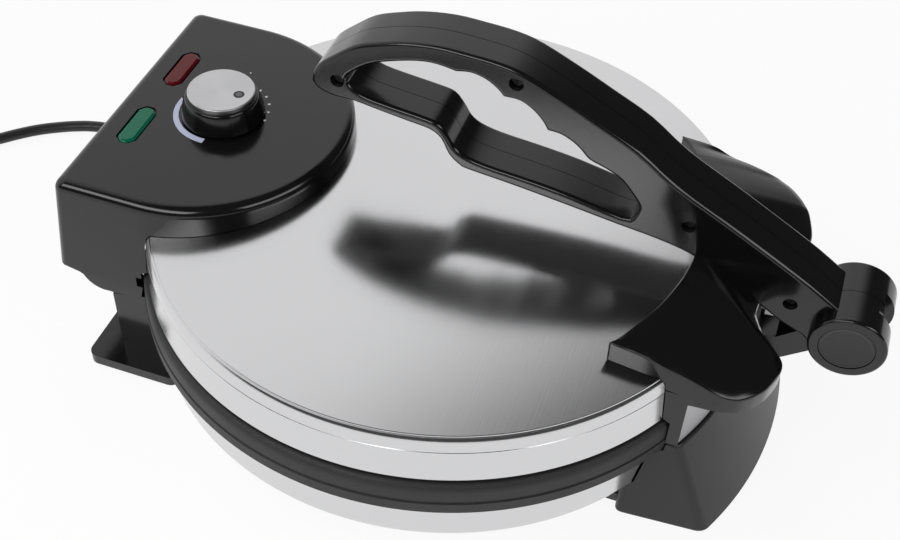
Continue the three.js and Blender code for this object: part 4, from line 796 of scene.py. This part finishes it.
def make_knob():
    low = KNOB.z
    seat = CAP_TOP - 2.2
    rings = []
    levels = [(low, 0.7), (low + 0.6, 0.0), (low + 3.6, 0.5), (low + 7.0, 1.3)]
    levels += [(seat - 1.6, 2.1), (seat - 0.5, 2.6), (seat, 3.3)]
    for step in range(KNOB_RIBS * 4):
        angle = 2 * math.pi * step / (KNOB_RIBS * 4)
        dent = RIB_DEPTH * (0.5 - 0.5 * math.cos(math.pi * step))
        ring = [(0.0, 0.0, low)]
        for z, inset in levels:
            notch = dent if low + 1.0 < z < seat - 0.5 else 0.0
            radius = KNOB_RADIUS - inset - notch
            ring.append((radius * math.cos(angle), radius * math.sin(angle), z))
        ring.append((0.0, 0.0, seat))
        rings.append(ring)
    knob = as_object("knob_grip", stitched(rings, closed_round=True, closed_section=False))
    lift = (0, KNOB.y, 0)
    settle(knob, "knob", "black_gloss", ["knob"], 40.0, lift=lift)
    cap_profile = [(0.0, seat + 0.1), (CAP_RADIUS, seat + 0.1)]
    cap_profile += arc(CAP_RADIUS - CAP_ROUND, CAP_TOP - CAP_ROUND, CAP_ROUND, 0, 90, 5)
    cap_profile += [(CAP_RADIUS - 1.6, CAP_TOP - 0.15), (0.0, CAP_TOP - 0.15)]
    cap = as_object("knob_silver_cap", turned(cap_profile, 128))
    settle(cap, "knob", "silver_cap", ["knob_cap"], 40.0, lift=lift)
    for name, outer, rise, slot in (("ring", 2.6, 0.02, "black_gloss"), ("dot", 1.5, 0.08, "silver_cap")):
        below, above = CAP_TOP - 0.4, CAP_TOP - 0.15 + rise
        pointer = [(0, below), (outer, below), (outer, above), (0, above)]
        mark = as_object(f"knob_pointer_{name}", turned(pointer, 32, (0, POINTER_Y)))
        settle(mark, "knob", slot, lift=lift, material=None if name == "ring" else POINTER_GREY)


make_control_housing()
make_lenses()
make_dial()
make_knob()


# An outline with each sharp corner turned into a short curve
def rounded(points, radius, steps=6):
    line = []
    for k, point in enumerate(points):
        here, before, after = Vector(point), Vector(points[k - 1]), Vector(points[(k + 1) % len(points)])
        if (here - before).angle(after - here) < 0.35:
            line.append(tuple(here))
            continue
        one = here + (before - here).normalized() * min(radius, (before - here).length * 0.95)
        two = here + (after - here).normalized() * min(radius, (after - here).length * 0.95)
        for step in range(steps + 1):
            share = step / steps
            line.append(tuple(one.lerp(here, share).lerp(here.lerp(two, share), share)))
    return line


# Front foot: a hollow cone front with two ridges, and a floor that runs back under the pan
FOOT_LOW = low_foot.z / MM
FOOT_TOP = 45.0
FOOT_BACK = -110.0
FOOT_FLOOR = 5.5
FOOT_FLOOR_BACK = -105.0


def foot_outline(z, inset=0.0, rounding=4.0):
    share = z / FOOT_TOP
    half, reach = 79.0 - 9.0 * share - inset, 171.0 - 23.0 * share - inset
    span = math.degrees(math.asin(half / reach))
    front = arc(0, 0, reach, -90 - span, -90 + span, 40)
    spread = half + 2.6 * (1 - share)
    points = [(-spread, FOOT_BACK)] + front + [(spread, FOOT_BACK)]
    return [(x, y, z) for x, y in rounded(points, rounding)]


def make_front_foot():
    levels = [(FOOT_LOW, 1.6), (FOOT_LOW + 0.5, 0.6), (FOOT_LOW + 1.6, 0.0), (FOOT_TOP - 1.2, 0.0)]
    levels += [(FOOT_TOP - 0.35, 0.35), (FOOT_TOP, 1.2)]
    foot = as_object("foot_cone", stitched([foot_outline(z, inset) for z, inset in levels]))
    carve(foot, stitched([foot_outline(z, 4.0, 2.0) for z in (FOOT_LOW + FOOT_FLOOR, RING_LOW - 4.0)]))
    carve(foot, base_room(0.6))
    floor = [(-75.0, -150.0), (75.0, -150.0), (75.0, FOOT_FLOOR_BACK), (-75.0, FOOT_FLOOR_BACK)]
    carve(foot, prism(floor, FOOT_LOW, FOOT_LOW + FOOT_FLOOR), "UNION")
    for number in (1, 2):
        low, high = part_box(f"foot_screw_{number}")
        x, y = (low.x + high.x) / 2 / MM, (low.y + high.y) / 2 / MM - PLATE_Y
        carve(foot, rod((x, y, FOOT_LOW + 2.0), (x, y, low_shell.z / MM - CLEARANCE), 7.0), "UNION")
        carve(foot, rod((x, y, -2.0), (x, y, FOOT_LOW + FOOT_FLOOR / 2), 3.3))
        carve(foot, rod((x, y, 0.0), (x, y, 40.0), 1.9))
    for side in ("left", "right"):
        low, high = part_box(f"front_pad_{side}")
        x, y = (low.x + high.x) / 2 / MM, (low.y + high.y) / 2 / MM - PLATE_Y
        carve(foot, rod((x, y, -2.0), (x, y, high.z / MM + CLEARANCE), (high.x - low.x) / 2 / MM + CLEARANCE))
    settle(foot, "base", "black_gloss", ["front_foot"], 32.0, SATIN_BLACK)


make_front_foot()


# Nose: a crescent block on the lid whose roof rises to a soft ridge that runs on into the pivot arm
PIVOT_Y = PIVOT.y - PLATE_Y
PIVOT_Z = PIVOT.z
NOSE_EDGE = [
    (69.5, -94.0, 98.0), (70.3, -110.0, 96.0), (70.0, -120.0, 92.3), (70.6, -130.0, 90.0),
    (71.1, -139.9, 87.0), (70.2, -145.0, 85.3), (68.3, -149.5, 84.3), (64.8, -153.5, 83.7),
    (61.0, -156.6, 83.3), (56.0, -159.6, 82.8), (47.0, -162.5, 81.5), (41.5, -163.3, 81.0),
    (38.0, -162.6, 81.0), (35.0, -160.0, 81.6), (30.0, -154.0, 83.6), (20.0, -147.6, 85.6),
    (10.0, -147.5, 86.2), (0.0, -147.6, 86.4),
]
NOSE_RIDGE = [
    (-82.2, 108.0), (-99.0, 106.2), (-114.3, 102.1), (-129.8, 94.0), (-145.9, 85.6), (-158.3, 80.0),
    (-169.1, 76.4),
]
NOSE_INNER_HEIGHTS = [(0.0, 106.6), (14.0, 105.2), (27.0, 102.2), (47.0, 101.0), (56.0, 100.6), (69.5, 98.0)]
NOSE_INNER = 116.5
NOSE_ROUND = 1.6
RIM_DEPTH = [(-94.0, 26.0), (-116.0, 24.0), (-130.7, 15.2), (-140.0, 11.0), (-146.0, 8.8), (-170.0, 8.6)]
APRON_RADIUS = 147.0
APRON_HALF = 69.0
FACING_GAP = 45.0
APRON_LOW = 46.0
NOSE_SWEEP = 36.6
NOSE_STEPS = 12
APRON_SHEET = 2.4
FACING_SHEET = 0.45
STRIP_HIGH = 79.0


def along(points, key):
    for (a, low), (b, high) in zip(points, points[1:]):
        if min(a, b) <= key <= max(a, b):
            return low + (high - low) * (key - a) / (b - a)
    return points[0][1] if abs(key - points[0][0]) < abs(key - points[-1][0]) else points[-1][1]


# A bent strip in front of the ring, between two heights
def sector(inner, outer, low, high, reach, steps=40):
    span = math.degrees(math.asin(reach / outer))
    near, far = (arc(0, 0, radius, -90 - span, -90 + span, steps) for radius in (inner, outer))
    return stitched([[(*a, low), (*b, low), (*b, high), (*a, high)] for a, b in zip(near, far)])


def nose_sections():
    outer_line = smooth_line(NOSE_EDGE, 6)
    ridge = smooth_line(NOSE_RIDGE, 6)
    half = []
    for index, (x, y, edge_z) in enumerate(outer_line):
        share = index / (len(outer_line) - 1)
        around = math.radians(NOSE_SWEEP * (1 - share))
        inner = (NOSE_INNER * math.sin(around), -NOSE_INNER * math.cos(around))
        inner_z = along(NOSE_INNER_HEIGHTS, inner[0])
        section = []
        for step in range(NOSE_STEPS + 1):
            cross = step / NOSE_STEPS
            px, py = inner[0] + (x - inner[0]) * cross, inner[1] + (y - inner[1]) * cross
            plain = inner_z + (edge_z - inner_z) * (cross ** 1.25)
            crest = along(ridge, py)
            lean = max(0.0, 1 - max(abs(px) - 10.0, 0.0) / 34.0)
            lean = lean * lean * (3 - 2 * lean)
            section.append((px, py, plain + max(crest - plain, 0.0) * lean))
        half.append(section)
    return half


def make_nose():
    half = nose_sections()
    mirrored = [[(-x, y, z) for x, y, z in section] for section in half[:-1]]
    sections = mirrored + half[::-1]
    rings = []
    for section in sections:
        first, last = section[0], section[-1]
        span = math.hypot(last[0] - first[0], last[1] - first[1])
        ux, uy = (last[0] - first[0]) / span, (last[1] - first[1]) / span
        low = last[2] - along(RIM_DEPTH, last[1])
        ring = [(first[0], first[1], low), (first[0], first[1], first[2] - NOSE_ROUND)]
        for degrees in (60, 30):
            angle = math.radians(degrees)
            drop, shift = NOSE_ROUND * (1 - math.cos(angle)), NOSE_ROUND * (1 - math.sin(angle))
            ring.append((first[0] + ux * shift, first[1] + uy * shift, first[2] - drop))
        ring += section[1:-1]
        for degrees in (30, 60):
            angle = math.radians(degrees)
            drop, shift = NOSE_ROUND * (1 - math.cos(angle)), NOSE_ROUND * (1 - math.sin(angle))
            ring.append((last[0] - ux * shift, last[1] - uy * shift, last[2] - drop))
        ring += [(last[0], last[1], last[2] - NOSE_ROUND), (last[0], last[1], low)]
        rings.append(ring)
    nose = as_object("nose_cover", stitched(rings))
    for side in (-1, 1):
        strip = [(side * x, y) for x, y in ((64.0, -116.0), (70.3, -116.0), (70.3, -130.0), (64.0, -130.0))]
        carve(nose, prism(strip, APRON_LOW, STRIP_HIGH), "UNION")
    apron = sector(APRON_RADIUS - APRON_SHEET, APRON_RADIUS - 0.5, APRON_LOW, STRIP_HIGH, APRON_HALF)
    carve(nose, apron, "UNION")
    carve(nose, lid_room(CLEARANCE))
    settle(nose, "lid", "black_gloss", ["lid_nose"], 32.0)
    plate = sector(APRON_RADIUS - FACING_SHEET, APRON_RADIUS, APRON_LOW + 0.4, 75.6, APRON_HALF + 0.8)
    facing = as_object("apron_facing", plate)
    middle = [(-FACING_GAP, -160.0), (FACING_GAP, -160.0), (FACING_GAP, -60.0), (-FACING_GAP, -60.0)]
    carve(facing, prism(middle, APRON_LOW - 5.0, 90.0))
    # The facing wears the dimmer steel copy: painted shade
    settle(facing, "lid", "stainless", material=SHADED_FACING_STEEL)


make_nose()


# Lever: two mirrored halves whose edges are rounded, round a hand hole with finger scallops
EDGE_ROUND = 1.9
LEVER_HALF = 13.0
LEVER_SHIFT = (1.2, -4.2)
SEAM_WIDTH = 0.3
SEAM_DEPTH = 0.4
LEVER_TOP = [
    (5.1, 17.9), (20.6, 28.5), (39.3, 39.5), (60.1, 51.2), (84.1, 64.3), (101.9, 77.4), (119.8, 86.6),
    (135.2, 94.2), (151.8, 101.5), (162.9, 104.3), (176.9, 105.3), (190.5, 105.5), (204.3, 103.5),
    (216.0, 100.0), (226.7, 95.6), (236.3, 88.1), (243.4, 81.7), (246.9, 76.0),
]
LEVER_UNDER = [
    (247.2, 72.2), (243.7, 68.1), (236.7, 66.3), (227.9, 66.2), (215.9, 64.3), (201.3, 62.2), (192.6, 60.9),
    (187.5, 57.5), (183.5, 49.8), (178.3, 45.2), (173.7, 43.8), (154.0, 41.6), (129.4, 38.2), (105.4, 34.6),
    (88.0, 32.2), (72.1, 28.3), (56.0, 20.0), (40.5, 10.8), (29.3, 3.7), (18.5, -1.0),
]
HOLE_ENDS = [
    (181.8, 95.0), (190.5, 96.2), (199.2, 95.3), (212.3, 91.3), (220.4, 87.5), (227.6, 81.8), (230.8, 77.6),
    (229.0, 73.6), (221.9, 70.2), (209.5, 68.4), (196.3, 66.9), (189.1, 65.3), (184.6, 60.3), (181.0, 54.6),
    (176.3, 51.3), (166.7, 48.9), (148.1, 47.0), (130.0, 44.6), (104.2, 39.6), (98.9, 42.4), (97.9, 47.8),
    (101.9, 53.8), (107.5, 60.0), (114.0, 63.5), (121.8, 66.3), (125.6, 70.0), (129.5, 73.2), (135.2, 75.9),
    (141.0, 76.3),
]
HOLE_SCALLOPS = [
    [(141.0, 76.3), (143.7, 80.6), (148.0, 84.9), (153.9, 88.1), (160.8, 88.1)],
    [(160.8, 88.1), (164.4, 91.7), (169.3, 94.7), (175.4, 96.1), (181.8, 95.0)],
]
BARREL_END = 19.0
BARREL_RADIUS = 16.9
CAP_SEAT = 12.2
LEVER_SCREWS = [(234.9, 75.5), (155.8, 96.6), (75.6, 44.5), (26.5, 15.6)]
SCREW_SEAT = 4.0
SCREW_HOLE = 3.2
SCREW_HEAD = 2.6
SCREW_LENGTH = 14.0
CROSS_HALVES = ((1.6, 0.35), (0.35, 1.6))
CAP_FLOOR = 17.6
BARREL_ROUND = 1.4
SLOT_HALF = 7.0


def lever_points(points):
    return [(PIVOT_Y + LEVER_SHIFT[0] + y, PIVOT_Z + LEVER_SHIFT[1] + z) for y, z in points]


def offset(points, distance):
    moved = []
    count = len(points)
    turn = sum(a[0] * b[1] - b[0] * a[1] for a, b in zip(points, points[1:] + points[:1]))
    sign = 1.0 if turn > 0 else -1.0
    for i, point in enumerate(points):
        before, after = Vector(points[i - 1]), Vector(points[(i + 1) % count])
        one = (Vector(point) - before).normalized()
        two = (after - Vector(point)).normalized()
        out = (Vector((one.y, -one.x)) + Vector((two.y, -two.x))).normalized()
        reach = distance / max(out.dot(Vector((one.y, -one.x))), 0.6)
        moved.append((point[0] + sign * out.x * reach, point[1] + sign * out.y * reach))
    return moved


# A through hole across the lever whose mouths widen in a quarter round
def flared(points, half, radius):
    rings = []
    stops = []
    for step in range(7):
        angle = math.pi / 2 * step / 6
        stops.append((half - radius + radius * math.sin(angle), radius * (1 - math.cos(angle))))
    stops.append((half + 2.0, radius))
    for x, grow in [(-a, b) for a, b in stops[::-1]] + stops:
        rings.append([(x, y, z) for y, z in offset(points, grow)])
    return stitched(rings)


def soften(obj, width, levels):
    mesh = bmesh.new()
    mesh.from_mesh(obj.data)
    layers = mesh.edges.layers.float
    layer = layers.get("bevel_weight_edge") or layers.new("bevel_weight_edge")
    for edge in mesh.edges:
        flat = any(all(abs(v.co.x - level) < 0.01 for v in edge.verts) for level in levels)
        edge[layer] = 1.0 if flat and edge.calc_face_angle(0.0) > 0.7 else 0.0
    mesh.to_mesh(obj.data)
    mesh.free()
    rounder = obj.modifiers.new("soften", "BEVEL")
    rounder.limit_method = "WEIGHT"
    rounder.width = width
    rounder.segments = 5
    rounder.use_clamp_overlap = False
    apply_modifiers(obj)


# A shape turned about the lever's pivot, from places of radius and distance across
def about_pivot(profile, steps=96):
    rings = []
    for step in range(steps):
        angle = 2 * math.pi * step / steps
        rings.append([(x, PIVOT_Y + r * math.cos(angle), PIVOT_Z + r * math.sin(angle)) for r, x in profile])
    return stitched(rings, closed_round=True, closed_section=False)


def make_lever():
    top = smooth_line(lever_points(LEVER_TOP), 3)
    under = smooth_line(lever_points(LEVER_UNDER), 3)
    start = lever_points([(12.0, -7.0), (4.0, 2.0), (2.0, 10.0)])
    outer = top + under + start
    arm = as_object("lever_shell", prism(outer, -LEVER_HALF, LEVER_HALF, True))
    hole = smooth_line(lever_points(HOLE_ENDS), 3)[:-1]
    for scallop in HOLE_SCALLOPS:
        hole += smooth_line(lever_points(scallop), 3)[:-1]
    soften(arm, EDGE_ROUND, (-LEVER_HALF, LEVER_HALF))
    carve(arm, flared(hole, LEVER_HALF, EDGE_ROUND))
    bend = arc(0, 0, BARREL_ROUND, 90, 0, 5)
    end = [(BARREL_END - BARREL_ROUND + x, BARREL_RADIUS - BARREL_ROUND + r) for r, x in bend]
    barrel = [(0.0, -BARREL_END)] + [(r, -x) for x, r in end] + [(r, x) for x, r in end[::-1]]
    barrel += [(0.0, BARREL_END)]
    carve(arm, about_pivot(barrel), "UNION")
    seat_outline = ((0.0, 20.0), (CAP_SEAT, 20.0), (CAP_SEAT, CAP_FLOOR), (0.0, CAP_FLOOR))
    for side in (-1, 1):
        carve(arm, about_pivot([(r, side * x) for r, x in seat_outline]))
    for number, (y, z) in enumerate(lever_points(LEVER_SCREWS), 1):
        seat = -LEVER_HALF + SCREW_SEAT
        carve(arm, rod((-LEVER_HALF - 2.0, y, z), (seat, y, z), SCREW_HOLE, 32))
        screw = rod((seat - 1.2, y, z), (-LEVER_HALF + SCREW_LENGTH, y, z), SCREW_HEAD, 24)
        cross = as_object(f"lever_screw_head_{number}", screw)
        for half_y, half_z in CROSS_HALVES:
            corners = ((-1, -1), (1, -1), (1, 1), (-1, 1))
            mark = [(y + a * half_y, z + b * half_z) for a, b in corners]
            carve(cross, prism(mark, seat - 2.0, seat - 0.6, True))
        settle(cross, "lever", "fastener_steel", [f"lever_screw_{number}"], 40.0)
    carve(arm, prism(offset(hole, SEAM_DEPTH), -SEAM_WIDTH / 2, SEAM_WIDTH / 2, True))
    sheet = [(-400.0, -100.0), (400.0, -100.0), (400.0, 400.0), (-400.0, 400.0)]
    band = as_object("seam_band", prism(sheet, -SEAM_WIDTH / 2, SEAM_WIDTH / 2, True))
    carve(band, prism(offset(outer, -SEAM_DEPTH), -5.0, 5.0, True))
    core = BARREL_RADIUS - SEAM_DEPTH
    carve(band, about_pivot([(0.0, -6.0), (core, -6.0), (core, 6.0), (0.0, 6.0)]))
    groove_mesh = bmesh.new()
    groove_mesh.from_mesh(band.data)
    bpy.data.objects.remove(band)
    carve(arm, groove_mesh)
    slot = [(-24.0, -30.0), (17.5, -30.0), (17.5, 3.0), (10.0, 9.5), (0.0, 12.5), (-24.0, 18.0)]
    carve(arm, prism([(PIVOT_Y + y, PIVOT_Z + z) for y, z in slot], -SLOT_HALF, SLOT_HALF, True))
    settle(arm, "lever", "black_gloss", ["lever_left_half", "lever_right_half"], 36.0)


CAP_DISC = [
    (0.0, 17.0), (12.1, 17.0), (12.1, 18.3), (11.9, 18.7),
    (11.4, 18.85), (10.9, 18.75), (10.3, 18.4), (0.0, 18.3),
]


def make_pivot_caps():
    for side, name in ((-1, "left"), (1, "right")):
        cap = as_object(f"barrel_cap_{name}", about_pivot([(r, side * x) for r, x in CAP_DISC]))
        settle(cap, "lever", "black_gloss", [f"pivot_cap_{name}"], 32.0)


make_lever()
make_pivot_caps()
